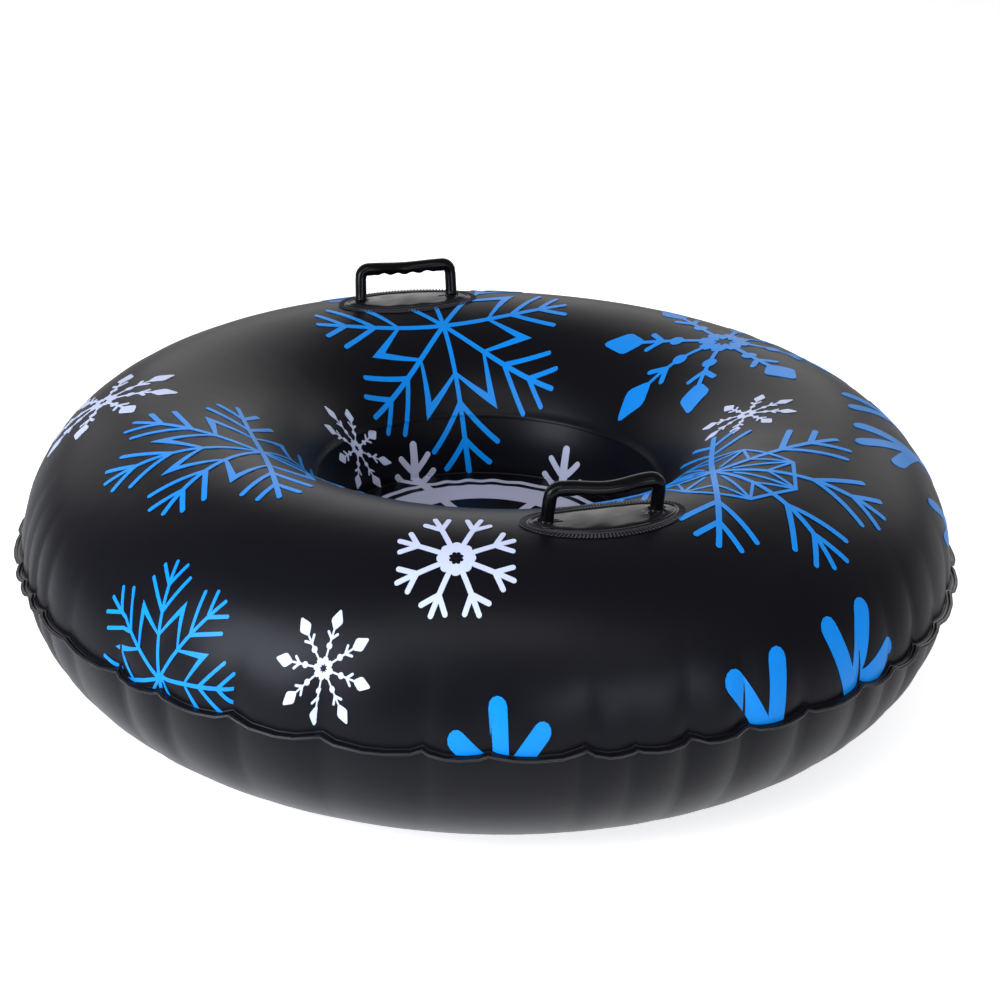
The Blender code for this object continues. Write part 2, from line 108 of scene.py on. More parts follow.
# How far the broad pull and the crease reach from the weld
CROWN_REACHES = (62 * MM, 44 * MM)
BELLY_REACHES = (75 * MM, 80 * MM)
BELLY_CALM_HEIGHT = 40 * MM
WRINKLE_SEED = 11
WRINKLE_WAVES = 9
WRINKLE_COUNTS = (70, 230)
WRINKLE_STRENGTHS = (0.4, 1.0)
WRINKLE_REACH = 14 * MM
WRINKLE_IN = 0.25 * MM
WRINKLE_UP = 0.35 * MM

# Slack seat: its puckers near the weld, its slow waves and its sag
PUCKER_REACH = 50 * MM
PUCKER_HEIGHT = 0.9 * MM
SEAT_SLOW_HEIGHT = 0.25 * MM
SEAT_SAG = 1.2 * MM

# Flat print: the sheet before it was welded and blown up
SHEET_CENTRE_RADIUS = 0.154
SHEET_MAP_WIDTH = 1.4


def srgb(code):
    """Linear RGBA of an sRGB hex code."""
    shares = [int(code[i:i + 2], 16) / 255 for i in (1, 3, 5)]
    return tuple(s / 12.92 if s <= 0.04045 else ((s + 0.055) / 1.055) ** 2.4 for s in shares) + (1.0,)


def around(radius, azimuth, height):
    """Points at a radius, azimuth and height round the tube's axis."""
    return np.stack((radius * np.cos(azimuth), radius * np.sin(azimuth), height), axis=-1)


def meridian_table():
    """Angle of the crown's section against the distance up from the outer seam."""
    angles = np.linspace(0, math.pi, 721)
    radius = SECTION_HALF_WIDTH * np.cos(angles)
    height = CROWN_RISE * np.sin(angles)
    steps = np.hypot(np.diff(radius), np.diff(height))
    return np.concatenate(([0], np.cumsum(steps))), angles


CROWN_DISTANCES, CROWN_ANGLES = meridian_table()
CROWN_LENGTH = float(CROWN_DISTANCES[-1])
SHEET_SEAM_RADIUS = SHEET_CENTRE_RADIUS + CROWN_LENGTH
WALL_BEAD_ANGLE = math.pi - math.asin((WALL_BEAD_HEIGHT - SEAM_HEIGHT) / CROWN_RISE)
WALL_BEAD_AWAY = float(np.interp(WALL_BEAD_ANGLE, CROWN_ANGLES, CROWN_DISTANCES))


def all_folds():
    """Azimuth and strength of every fold: the front ones by eye, the others spread at random."""
    pick = np.random.default_rng(FOLD_SEED)
    front = [(math.radians(azimuth), strength) for azimuth, strength in FRONT_FOLDS]
    spare = FOLD_COUNT - len(front)
    start = front[-1][0]
    span = front[0][0] + 2 * math.pi - start
    pitch = span / (spare + 1)
    back = [(start + pitch * (i + 1 + pick.uniform(-FOLD_SCATTER_SHARE, FOLD_SCATTER_SHARE)),
             pick.uniform(*FOLD_STRENGTHS_BEHIND)) for i in range(spare)]
    return np.array(front + back)


FOLDS = all_folds()
FOLD_AZIMUTHS = np.append(FOLDS[:, 0], FOLDS[0, 0] + 2 * math.pi)
FOLD_STRENGTHS = np.append(FOLDS[:, 1], FOLDS[0, 1])


def fold_shares(azimuth):
    """Azimuth and strength of every fold: the front ones listed, the others spread at random."""
    turn = (azimuth - FOLD_AZIMUTHS[0]) % (2 * math.pi) + FOLD_AZIMUTHS[0]
    here = np.clip(np.searchsorted(FOLD_AZIMUTHS, turn, side="right") - 1, 0, FOLD_COUNT - 1)
    left = FOLD_AZIMUTHS[here]
    right = FOLD_AZIMUTHS[here + 1]
    share = (turn - left) / (right - left)
    near_left = np.maximum(1 - 2 * share, 0)
    near_right = np.maximum(2 * share - 1, 0)
    broad = FOLD_STRENGTHS[here] * near_left ** 2 + FOLD_STRENGTHS[here + 1] * near_right ** 2
    left_away = (turn - left) * SEAM_RADIUS / CREASE_HALF_WIDTH
    right_away = (right - turn) * SEAM_RADIUS / CREASE_HALF_WIDTH
    crease = FOLD_STRENGTHS[here] * np.exp(-left_away ** BROAD_FADE_POWER)
    crease = crease + FOLD_STRENGTHS[here + 1] * np.exp(-right_away ** BROAD_FADE_POWER)
    return broad, crease


def small_wrinkles(azimuth):
    """Fine uneven wrinkles along the weld, about -1 to 1."""
    pick = np.random.default_rng(WRINKLE_SEED)
    total = np.zeros_like(azimuth)
    for _ in range(WRINKLE_WAVES):
        count = pick.integers(*WRINKLE_COUNTS)
        total += pick.uniform(*WRINKLE_STRENGTHS) * np.sin(count * azimuth + pick.uniform(0, 2 * math.pi))
    return total / math.sqrt(WRINKLE_WAVES)


def fold_moves(azimuth, away, broad_reach, crease_reach):
    """Radial and upward move of the skin at a distance from the outer seam."""
    broad, crease = fold_shares(azimuth)
    broad_fade = np.exp(-(np.abs(away) / broad_reach) ** BROAD_FADE_POWER)
    crease_fade = np.exp(-(np.abs(away) / crease_reach) ** CREASE_FADE_POWER)
    peak_fade = np.exp(-(np.abs(away) / CREASE_PEAK_REACH) ** CREASE_FADE_POWER)
    wrinkle = small_wrinkles(azimuth) * np.exp(-np.abs(away) / WRINKLE_REACH)
    inwards = FOLD_DRAW_IN * (BROAD_DRAW_SHARE * broad * broad_fade
                              + CREASE_DRAW_SHARE * crease * crease_fade)
    upwards = FOLD_LIFT * ((BROAD_LIFT_SHARE * broad - BETWEEN_DROP_SHARE) * broad_fade
                           + CREASE_LIFT_SHARE * crease * peak_fade)
    return WRINKLE_IN * (wrinkle - 1) - inwards, upwards + WRINKLE_UP * wrinkle


def weld_beads(away):
    """Height of the fine beads on the sheet: two along the lip and one round the inner wall."""
    on_lip = LIP_BEAD_RISE * np.interp(-away / MM, LIP_ROWS_MM, LIP_BEAD_SHARES, left=0, right=0)
    on_wall = WALL_BEAD_RISE * np.clip(1 - np.abs(away - WALL_BEAD_AWAY) / WALL_BEAD_HALF_WIDTH, 0, 1)
    return on_lip + on_wall


def seat_wave(azimuth, radius):
    """Height of the slack seat's soft puckers, from a few given waves round it."""
    from_weld = np.clip((WELL_RADIUS - radius) / PUCKER_REACH, 0, 1)
    near = from_weld * (1 - from_weld) ** 2 * 27 / 4
    slow = np.sin(5 * azimuth + 0.7) + 0.6 * np.sin(3 * azimuth + 2.1)
    fine = np.sin(31 * azimuth + 2 * np.sin(3 * azimuth)) * (0.6 + 0.4 * np.sin(4 * azimuth + 1))
    sag = SEAT_SAG * (1 - (radius / WELL_RADIUS) ** 2)
    return near * (PUCKER_HEIGHT * fine + SEAT_SLOW_HEIGHT * slow) - sag


def crown_place(azimuth, away, lift):
    """Points on the folded crown: away runs up from the outer seam, and is negative on the lip."""
    angle = np.interp(away, CROWN_DISTANCES, CROWN_ANGLES)
    radius = CREST_RADIUS + SECTION_HALF_WIDTH * np.cos(angle)
    height = SEAM_HEIGHT + CROWN_RISE * np.sin(angle)
    normal_radius = np.cos(angle) / SECTION_HALF_WIDTH
    normal_height = np.sin(angle) / CROWN_RISE
    length = np.hypot(normal_radius, normal_height)
    on_lip = away <= 0
    radius = np.where(on_lip, SEAM_RADIUS - away, radius)
    normal_radius = np.where(on_lip, 0, normal_radius / length)
    normal_height = np.where(on_lip, 1, normal_height / length)
    height = np.maximum(height, SEAM_HEIGHT + LIP_FACE)
    inwards, upwards = fold_moves(azimuth, away, *CROWN_REACHES)
    lift = lift + weld_beads(away)
    radius = radius + inwards + normal_radius * lift
    height = height + upwards + normal_height * lift
    return around(radius, azimuth, height)


def sheet_place(azimuth, sheet_radius, lift):
    """Points on the top skin, seat and crown, from the polar plan of the flat sheet."""
    crown = crown_place(azimuth, SHEET_SEAM_RADIUS - sheet_radius, lift)
    radius = sheet_radius * WELL_RADIUS / SHEET_CENTRE_RADIUS
    height = SEAM_HEIGHT + LIP_FACE + seat_wave(azimuth, radius) + lift
    return np.where((sheet_radius < SHEET_CENTRE_RADIUS)[:, None], around(radius, azimuth, height), crown)


def belly_place(azimuth, angle, on_lip_radius):
    """Points on the folded belly: angle runs down from the outer seam to the inner one."""
    off_lip = np.isnan(on_lip_radius)
    radius = CREST_RADIUS + SECTION_HALF_WIDTH * np.cos(angle)
    height = np.maximum(SEAM_HEIGHT - BELLY_DROP * np.sin(angle), 0)
    height = np.minimum(height, SEAM_HEIGHT - LIP_FACE)
    radius = np.where(off_lip, radius, on_lip_radius)
    height = np.where(off_lip, height, SEAM_HEIGHT - LIP_FACE)
    away = np.where(off_lip, SECTION_HALF_WIDTH * np.abs(angle), SEAM_RADIUS - on_lip_radius)
    inwards, upwards = fold_moves(azimuth, away, *BELLY_REACHES)
    fade = np.clip(height / BELLY_CALM_HEIGHT, 0, 1)
    radius = radius + inwards * fade
    height = height + upwards * fade - np.where(off_lip, 0, weld_beads(away))
    return around(radius, azimuth, height)


def deselect():
    bpy.ops.object.select_all(action="DESELECT")


def set_mode(mode):
    bpy.ops.object.mode_set(mode=mode)


def active_piece(name):
    """Name the object that an operator has just added, and return it."""
    obj = bpy.context.object
    obj.name = name
    obj.data.name = name
    return obj


def object_of(data, name):
    """A new object of the scene with the given data."""
    obj = bpy.data.objects.new(name, data)
    bpy.context.scene.collection.objects.link(obj)
    return obj


def pick_out(obj):
    """Make an object the only selected one, and the active one."""
    deselect()
    obj.select_set(True)
    bpy.context.view_layer.objects.active = obj


def settle(obj):
    """Put a finished object's place, turn and size into its mesh."""
    pick_out(obj)
    bpy.ops.object.transform_apply(location=True, rotation=True, scale=True)


def apply_modifier(obj, name):
    pick_out(obj)
    bpy.ops.object.modifier_apply(modifier=name)


def open_circle(name, sides, radius):
    """An empty circle in edit mode, with its edge selected for an extrusion."""
    deselect()
    bpy.ops.mesh.primitive_circle_add(vertices=sides, radius=radius, fill_type="NOTHING", location=(0, 0, 0))
    obj = active_piece(name)
    set_mode("EDIT")
    bpy.ops.mesh.select_mode(type="EDGE")
    bpy.ops.mesh.select_all(action="SELECT")
    return obj


def mesh_points(mesh):
    points = np.empty(len(mesh.vertices) * 3)
    mesh.vertices.foreach_get("co", points)
    return points.reshape(-1, 3)


def face_centres(mesh):
    centres = np.empty(len(mesh.polygons) * 3)
    mesh.polygons.foreach_get("center", centres)
    return centres.reshape(-1, 3)


def edge_ends(mesh):
    ends = np.empty(len(mesh.edges) * 2, dtype=np.int32)
    mesh.edges.foreach_get("vertices", ends)
    return ends.reshape(-1, 2)


def move_points(mesh, points):
    mesh.vertices.foreach_set("co", np.ascontiguousarray(points, dtype=np.float32).ravel())
    mesh.update()


def select_faces(mesh, wanted):
    """Select, in edit mode, the faces that are wanted and nothing else."""
    set_mode("EDIT")
    bpy.ops.mesh.select_mode(type="FACE")
    bpy.ops.mesh.select_all(action="DESELECT")
    set_mode("OBJECT")
    mesh.polygons.foreach_set("select", wanted)
    set_mode("EDIT")


def select_ring(mesh, radius):
    """Select, in edit mode, the boundary edges that lie at a radius."""
    set_mode("OBJECT")
    points = mesh_points(mesh)
    ring = np.abs(np.hypot(points[:, 0], points[:, 1]) - radius) < NEAR
    mesh.vertices.foreach_set("select", ring)
    edges = edge_ends(mesh)
    mesh.edges.foreach_set("select", ring[edges[:, 0]] & ring[edges[:, 1]])
    mesh.polygons.foreach_set("select", np.zeros(len(mesh.polygons), dtype=bool))
    set_mode("EDIT")
    bpy.ops.mesh.select_mode(type="EDGE")


def extrude_ring(radius, wanted):
    """Extrude the selected ring, centred on the origin, from one radius to another."""
    bpy.ops.mesh.extrude_edges_move()
    bpy.ops.transform.resize(value=(wanted / radius, wanted / radius, 1), center_override=(0, 0, 0))
    return wanted


def crowded(share, crowding):
    """Even shares from 0 to 1, drawn together at both ends."""
    return share - crowding * np.sin(2 * math.pi * share) / (2 * math.pi)


def cut_bead_rows(mesh):
    """Three more rows of points on the inner side, where the wall's bead will stand."""
    shares = np.linspace(0, 1, 2001)
    for row in (-1, 0, 1):
        target = (WALL_BEAD_AWAY + row * WALL_BEAD_HALF_WIDTH) / CROWN_LENGTH
        share = float(np.interp(target, crowded(shares, ROW_CROWDING), shares))
        height = SECTION_HALF_WIDTH * math.sin(math.pi * share)
        set_mode("OBJECT")
        centres = face_centres(mesh)
        select_faces(mesh, np.hypot(centres[:, 0], centres[:, 1]) < CREST_RADIUS)
        bpy.ops.mesh.bisect(plane_co=(0, 0, height), plane_no=(0, 0, 1))


def half_torus(name, upper):
    """One sheet as a plain ring: half a torus, its lip and the flat seat, before it is folded."""
    deselect()
    bpy.ops.mesh.primitive_torus_add(
        major_segments=COLUMNS, minor_segments=2 * CROWN_ROWS, major_radius=CREST_RADIUS,
        minor_radius=SECTION_HALF_WIDTH, location=(0, 0, 0))
    obj = active_piece(name)
    mesh = obj.data
    side = 1 if upper else -1
    select_faces(mesh, face_centres(mesh)[:, 2] * side < 0)
    bpy.ops.mesh.delete(type="FACE")
    if upper:
        cut_bead_rows(mesh)
    select_ring(mesh, SEAM_RADIUS)
    radius = SEAM_RADIUS
    for row_mm in LIP_ROWS_MM:
        radius = extrude_ring(radius, SEAM_RADIUS + row_mm * MM)
    select_ring(mesh, WELL_RADIUS)
    radius = WELL_RADIUS
    for ring_mm in SEAT_RINGS_MM:
        radius = extrude_ring(radius, ring_mm * MM)
    bpy.ops.mesh.extrude_edges_move()
    bpy.ops.mesh.merge(type="CENTER")
    bpy.ops.mesh.select_all(action="SELECT")
    bpy.ops.mesh.normals_make_consistent(inside=False)
    set_mode("OBJECT")
    crest = max(mesh.polygons, key=lambda face: face.center.z * side)
    if crest.normal.z * side < 0:
        mesh.flip_normals()
    return obj


def column_azimuths(column):
    """Azimuth of each column of the skin's faces, which crowd together at the folds."""
    fold = (column // COLUMNS_PER_FOLD).astype(int)
    share = crowded((column % COLUMNS_PER_FOLD) / COLUMNS_PER_FOLD, COLUMN_CROWDING)
    return FOLD_AZIMUTHS[fold] + (FOLD_AZIMUTHS[fold + 1] - FOLD_AZIMUTHS[fold]) * share


def fold_sheet(obj, upper):
    """Crowd the plain ring's columns and rows at the welds and move them to the folded skin."""
    points = mesh_points(obj.data)
    radius = np.hypot(points[:, 0], points[:, 1])
    column = np.round(np.arctan2(points[:, 1], points[:, 0]) / (2 * math.pi) * COLUMNS) % COLUMNS
    azimuth = column_azimuths(column)
    row_share = crowded(np.arctan2(np.abs(points[:, 2]), radius - CREST_RADIUS) / math.pi, ROW_CROWDING)
    lip = radius > SEAM_RADIUS + NEAR
    seat = radius < WELL_RADIUS + NEAR
    away = np.where(lip, SEAM_RADIUS - radius, CROWN_LENGTH * row_share)
    if upper:
        places = crown_place(azimuth, away, 0)
    else:
        places = belly_place(azimuth, row_share * math.pi, np.where(lip, radius, np.nan))
    seat_height = SEAM_HEIGHT + (LIP_FACE if upper else -LIP_FACE)
    flat = around(radius, azimuth, seat_height + seat_wave(azimuth, radius))
    places = np.where(seat[:, None], flat, places)
    welded = radius > SEAM_RADIUS - NEAR
    obj.data.polygons.foreach_set("material_index", [int(all(welded[i] for i in face.vertices))
                                                     for face in obj.data.polygons])
    move_points(obj.data, places)
    sheet_radius = np.where(seat, radius * SHEET_CENTRE_RADIUS / WELL_RADIUS, SHEET_SEAM_RADIUS - away)
    add_sheet_uv(obj.data, azimuth, sheet_radius)


def add_sheet_uv(mesh, azimuth, sheet_radius):
    """UV map: the flat sheet's own plan, where 1 is the map's width."""
    layer = mesh.uv_layers.active or mesh.uv_layers.new(name="flat_sheet")
    layer.name = "flat_sheet"
    plan = np.stack((sheet_radius * np.cos(azimuth), sheet_radius * np.sin(azimuth)), axis=-1)
    plan = plan / SHEET_MAP_WIDTH + 0.5
    corners = np.empty(len(mesh.loops), dtype=np.int32)
    mesh.loops.foreach_get("vertex_index", corners)
    layer.data.foreach_set("uv", np.ascontiguousarray(plan[corners], dtype=np.float32).ravel())


def add_thickness(obj, thickness):
    """Turn a surface into a wall that lies on its inner side."""
    wall = obj.modifiers.new("wall", "SOLIDIFY")
    wall.thickness = thickness
    wall.offset = -1
    apply_modifier(obj, "wall")


def open_skin(obj):
    """Open the skin under the valve's flange, so that the neck's bore is free."""
    mesh = obj.data
    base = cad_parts["valve_base"]
    middle = sum((base.matrix_world @ Vector(corner) for corner in base.bound_box), Vector()) / 8
    select_faces(mesh, np.linalg.norm(face_centres(mesh) - middle, axis=1) < VALVE_OPENING)
    bpy.ops.mesh.delete(type="FACE")
    set_mode("OBJECT")


def make_skins():
    top = half_torus("top_skin", True)
    fold_sheet(top, True)
    open_skin(top)
    bottom = half_torus("bottom_skin", False)
    fold_sheet(bottom, False)
    for obj, node, slot in ((top, "top_sheet", "printed_vinyl"), (bottom, "bottom_sheet", "black_vinyl")):
        obj.data.shade_smooth()
        add_thickness(obj, SKIN)
        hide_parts(node)
        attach(obj, "tube")
    return top, bottom


# Designs are drawn with a radius of 1, and these are shares of it and degrees
ARMS = 8
ARM_STEP = 360 / ARMS
HALF_STEP = ARM_STEP / 2
FINE_STROKE = 0.034
THICK_STROKE = 0.083
ROUND_END_STEPS = 6
# The seat's design is in metres and degrees
SEAT_RINGS = ((0.088, 0.122), (0.130, 0.136))
SEAT_RING_STEP = 5
SEAT_ARMS = 6
SEAT_ARM = 9.5 * MM
SEAT_BARB = 6.8 * MM
SEAT_HUB_RADIUS = 36 * MM


def polar(radius, degrees):
    turn = math.radians(degrees)
    return np.array((radius * math.cos(turn), radius * math.sin(turn)))


def stroke(start, end, width):
    """Outline of a straight stroke with round ends."""
    along = math.atan2(end[1] - start[1], end[0] - start[0])
    outline = []
    for centre, turn in ((end, along), (start, along + math.pi)):
        for step in range(ROUND_END_STEPS + 1):
            angle = turn + math.pi * (step / ROUND_END_STEPS - 0.5)
            outline.append(centre + width / 2 * np.array((math.cos(angle), math.sin(angle))))
    return np.array(outline)


def disc(centre, radius, steps=20):
    return np.array([np.asarray(centre) + polar(radius, 360 * i / steps) for i in range(steps)])


def turned(outlines, degrees):
    turn = math.radians(degrees)
    matrix = np.array(((math.cos(turn), math.sin(turn)), (-math.sin(turn), math.cos(turn))))
    return [outline @ matrix for outline in outlines]


def mirrored(outlines):
    return [(outline * (1, -1))[::-1] for outline in outlines]


def all_round(outlines, count):
    """A copy of the outlines for each arm of a flake."""
    return [outline for i in range(count) for outline in turned(outlines, 360 * i / count)]


def fern_arm():
    """An arm with two pairs of barbs."""
    barbs = [stroke((0.556, 0), (0.843, 0.217), FINE_STROKE), stroke((0.781, 0), (0.954, 0.131), FINE_STROKE)]
    return [stroke((0, 0), (0.984, 0), FINE_STROKE)] + barbs + mirrored(barbs)


def fern_flake():
    """Arms with barbs, and a pointed chevron between each two arms."""
    chevron = [np.array((polar(0.380, 0), polar(0.708, HALF_STEP), polar(0.585, HALF_STEP), polar(0.352, 0)))]
    return all_round(fern_arm() + chevron + turned(mirrored(chevron), ARM_STEP), ARMS), []


def web_flake():
    """Arms with barbs, joined by a web like a cut gem."""
    corner = polar(0.485, HALF_STEP)
    web = [stroke(corner, polar(0.485, -HALF_STEP), 0.022), stroke(corner, polar(0.30, 0), 0.018),
           stroke(corner, polar(0.30, ARM_STEP), 0.018), stroke(corner, polar(0.13, HALF_STEP), 0.02)]
    return all_round(fern_arm() + web, ARMS), []


def fork_flake():
    """Thick arms that end in three fingers, round an open scalloped hub."""
    finger = stroke((0.645, 0), (0.864, 0.196), THICK_STROKE)
    arm = [stroke((0.2, 0), (0.96, 0), THICK_STROKE), finger] + mirrored([finger])
    hub = [disc((0, 0), 0.27, 32)]
    hub += [disc(polar(0.22, ARM_STEP * (i + 0.5)), 0.085) for i in range(ARMS)]
    hole = [disc((0, 0), 0.085, 24)] + [disc(polar(0.085, ARM_STEP * i), 0.035, 12) for i in range(ARMS)]
    return all_round(arm, ARMS) + hub, hole


def gem_flake():
    """Thin arms with a bead, a small barb pair and a diamond tip."""
    barb = stroke((0.50, 0), (0.60, 0.095), 0.045)
    side = ((0.69, 0.045), (0.775, 0.105), (0.805, 0.112), (0.835, 0.106), (0.86, 0.092), (0.985, 0.022))
    gem = np.array([(0.645, 0)] + [(x, -y) for x, y in side] + [(1.0, 0)] + list(reversed(side)))
    arm = [stroke((0.1, 0), (0.70, 0), FINE_STROKE), disc((0.38, 0), 0.056, 16), barb, gem] + mirrored([barb])
    star = [np.array(((0, 0), polar(0.05, -HALF_STEP), polar(0.09, 0), polar(0.05, HALF_STEP)))]
    hub = [np.array(((0, 0), polar(0.155, -HALF_STEP), polar(0.195, -12), polar(0.19, 0), polar(0.195, 12),
                     polar(0.155, HALF_STEP)))]
    return all_round(arm, ARMS) + all_round(hub, ARMS), all_round(star, ARMS)


def seat_flake():
    """Two plain rings and six arms with barbs, in metres on the flat sheet, centred on the seat."""
    solid = []
    for inner, outer in SEAT_RINGS:
        for start in range(0, 360, SEAT_RING_STEP):
            end = start + SEAT_RING_STEP
            corners = ((inner, start), (outer, start), (outer, end), (inner, end))
            solid.append(np.array([polar(*corner) for corner in corners]))
    barbs = [stroke((0.137, 0), (0.160, 0.022), SEAT_BARB), stroke((0.161, 0), (0.180, 0.018), SEAT_BARB)]
    arm = [stroke((0.0, 0), (0.194, 0), SEAT_ARM)] + barbs + mirrored(barbs)
    return solid + all_round(arm, SEAT_ARMS) + [disc((0, 0), SEAT_HUB_RADIUS, 40)], []


FLAKE_DESIGNS = {"fern": fern_flake, "web": web_flake, "fork": fork_flake, "gem": gem_flake}

# Name, which starts with the design, ink, azimuth, distance out from the inner weld, radius and the
# first arm's direction.
# The last six are on the side that the photograph doesn't show.
FLAKES = (
    ("fern_rear", "blue", 102.45, 0.1845, 0.1844, -73.5),
    ("fern_left", "blue", -147.40, 0.1873, 0.1669, 107.1),
    ("fern_low_left", "blue", -127.81, 0.4848, 0.1163, 63.6),
    ("web_right", "blue", -37.47, 0.1971, 0.1870, 262.8),
    ("fork_front", "pale", -94.04, 0.3079, 0.0702, 68.2),
    ("gem_front", "pale", -107.42, 0.4328, 0.0565, 111.6),
    ("gem_left", "pale", 179.68, 0.3300, 0.0860, 30.9),
    ("gem_well", "pale", 145.76, 0.0549, 0.0564, 16.6),
    ("gem_right", "pale", 0.48, 0.1878, 0.0548, 23.5),
    ("gem_rear", "blue", 37.51, 0.2473, 0.1613, 29.9),
    ("fork_low_front", "blue", -86.82, 0.6930, 0.2518, 97.0),
    ("fork_low_right", "blue", -49.66, 0.6824, 0.2896, 112.6),
    ("fork_right", "blue", 11.44, 0.5476, 0.2877, 204.2),
    ("fork_low_rear", "blue", 86.0, 0.6930, 0.2518, 265.0),
    ("fern_low_rear", "blue", 52.0, 0.4848, 0.1163, 240.0),
    ("gem_low_rear", "pale", 70.0, 0.4328, 0.0565, 80.0),
    ("fork_mid_rear", "pale", 110.0, 0.4280, 0.0540, 100.0),
    ("gem_mid_rear", "blue", 133.0, 0.4600, 0.1150, 130.0),
    ("fork_low_left", "blue", 157.0, 0.6700, 0.2518, 342.0),
)
# The sheet lies askew under two flakes: how far each leans to one side, and its width across
ASKEW_FLAKES = {"gem_well": (0.386, 0.786), "fork_right": (0.4697, 0.6947)}
PRINT_MARGIN = 2 * MM
OUTLINE_STEP = 3 * MM
FILL_STEP = 6 * MM
FOLDED_STEP = 4 * MM
FOLDED_ZONE = 120 * MM
INK_EDGE_DEGREES = 60
INK_LIFT = 0.5 * MM
INK = 0.6 * MM
LOW_TIP = 5 * MM
# Points that are closer than this become one, in metres
MERGED = 1e-7


def with_steps(outline, step):
    """The outline with points added so that no side is longer than a step."""
    points = []
    for start, end in zip(outline, np.roll(outline, -1, axis=0)):
        count = max(1, math.ceil(np.hypot(*(end - start)) / step))
        points.extend(start + (end - start) * i / count for i in range(count))
    return np.array(points)


def fill_outlines(solids, holes, limit):
    """Triangles of the joined solids without the holes, cut off at a radius of the sheet.

    Arcs at the limit, the seat's crease and the wall's bead, and lines along the skin's own columns where
    it is folded, make the film bend where the skin does. An outline that is beyond the limit but for a
    low tip is left out.
    """
    points, faces, edges = [], [], []
    open_faces = set()
    for number, outline in enumerate(solids + holes):
        dense = with_steps(outline, OUTLINE_STEP)
        if np.hypot(dense[:, 0], dense[:, 1]).min() > limit - LOW_TIP:
            continue
        if number >= len(solids):
            open_faces.add(len(faces))
        faces.append(list(range(len(points), len(points) + len(dense))))
        points.extend(dense)
    used = np.array(points)
    low, high = used.min(axis=0), used.max(axis=0)
    across, down = np.meshgrid(*(np.arange(low[axis], high[axis], FILL_STEP) for axis in (0, 1)))
    fill = np.stack((across.ravel(), down.ravel()), axis=-1)
    points.extend(fill[np.hypot(fill[:, 0], fill[:, 1]) < limit - FOLDED_ZONE])
    bead = SHEET_SEAM_RADIUS - WALL_BEAD_AWAY
    bead_radii = [bead + side * WALL_BEAD_HALF_WIDTH for side in (-1, 0, 1)]
    for radius in (limit, SHEET_CENTRE_RADIUS, *bead_radii):
        sides = math.ceil(2 * math.pi * radius / (OUTLINE_STEP / 2))
        arc = np.arange(sides) * 2 * math.pi / sides
        ring = radius * np.stack((np.cos(arc), np.sin(arc)), axis=-1)
        near = np.all((ring > low) & (ring < high), axis=1)
        first = len(points)
        order = np.cumsum(near) - 1
        points.extend(ring[near])
        edges += [(first + order[i], first + order[(i + 1) % sides]) for i in range(sides)
                  if near[i] and near[(i + 1) % sides]]
    along = np.arange(limit - FOLDED_ZONE, limit + FOLDED_STEP, FOLDED_STEP)
    for turn in column_azimuths(np.arange(COLUMNS)):
        line = np.outer(along, (math.cos(turn), math.sin(turn)))
        line = line[np.all((line > low) & (line < high), axis=1)]
        edges += [(len(points) + i, len(points) + i + 1) for i in range(len(line) - 1)]
        points.extend(line)
    places = [Vector(point) for point in points]
    verts, _, tris, _, _, sources = delaunay_2d_cdt(places, edges, faces, 0, MERGED, True)
    verts = np.array([(v.x, v.y) for v in verts])
    triangles = []
    for triangle, source in zip(tris, sources):
        if not source or open_faces.intersection(source):
            continue
        corners = verts[list(triangle)]
        if np.hypot(*corners.mean(axis=0)) < limit:
            triangles.append(triangle)
    wanted = sorted({corner for triangle in triangles for corner in triangle})
    place = {corner: i for i, corner in enumerate(wanted)}
    return verts[wanted], [[place[corner] for corner in triangle] for triangle in triangles]


def lay_print(name, solids, holes, limit, material):
    """A film of ink on the folded crown, from outlines in the flat sheet's plan."""
    plan, triangles = fill_outlines(solids, holes, limit)
    azimuth = np.arctan2(plan[:, 1], plan[:, 0])
    sheet_radius = np.hypot(plan[:, 0], plan[:, 1])
    places = sheet_place(azimuth, sheet_radius, INK_LIFT)
    mesh = bpy.data.meshes.new(name)
    mesh.from_pydata(places.tolist(), [], triangles)
    obj = object_of(mesh, name)
    add_sheet_uv(mesh, azimuth, sheet_radius)
    add_thickness(obj, INK)
    smooth_with_edges(obj, INK_EDGE_DEGREES)
    mesh.materials.append(material)
    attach(obj, "tube")


def drawn_askew(outline, azimuth, push, shorten):
    """The outline with its part across the sheet's radius shortened and pushed to one side."""
    out = polar(1, azimuth)
    across = polar(1, azimuth + 90)
    away = outline @ out
    return np.outer(away, out) + np.outer(push * away + shorten * (outline @ across), across)


def make_prints(inks):
    for name, ink, azimuth, from_weld, radius, first_arm in FLAKES:
        solids, holes = FLAKE_DESIGNS[name.split("_")[0]]()
        centre = polar(SHEET_CENTRE_RADIUS + from_weld, azimuth)
        placed = []
        for outlines in (solids, holes):
            outlines = [outline * radius for outline in turned(outlines, first_arm)]
            if name in ASKEW_FLAKES:
                outlines = [drawn_askew(outline, azimuth, *ASKEW_FLAKES[name]) for outline in outlines]
            placed.append([outline + centre for outline in outlines])
        lay_print(f"{ink}_{name}_flake", *placed, SHEET_SEAM_RADIUS - PRINT_MARGIN, inks[ink])
    lay_print("pale_seat_flake", *seat_flake(), SHEET_SEAM_RADIUS, inks["seat"])


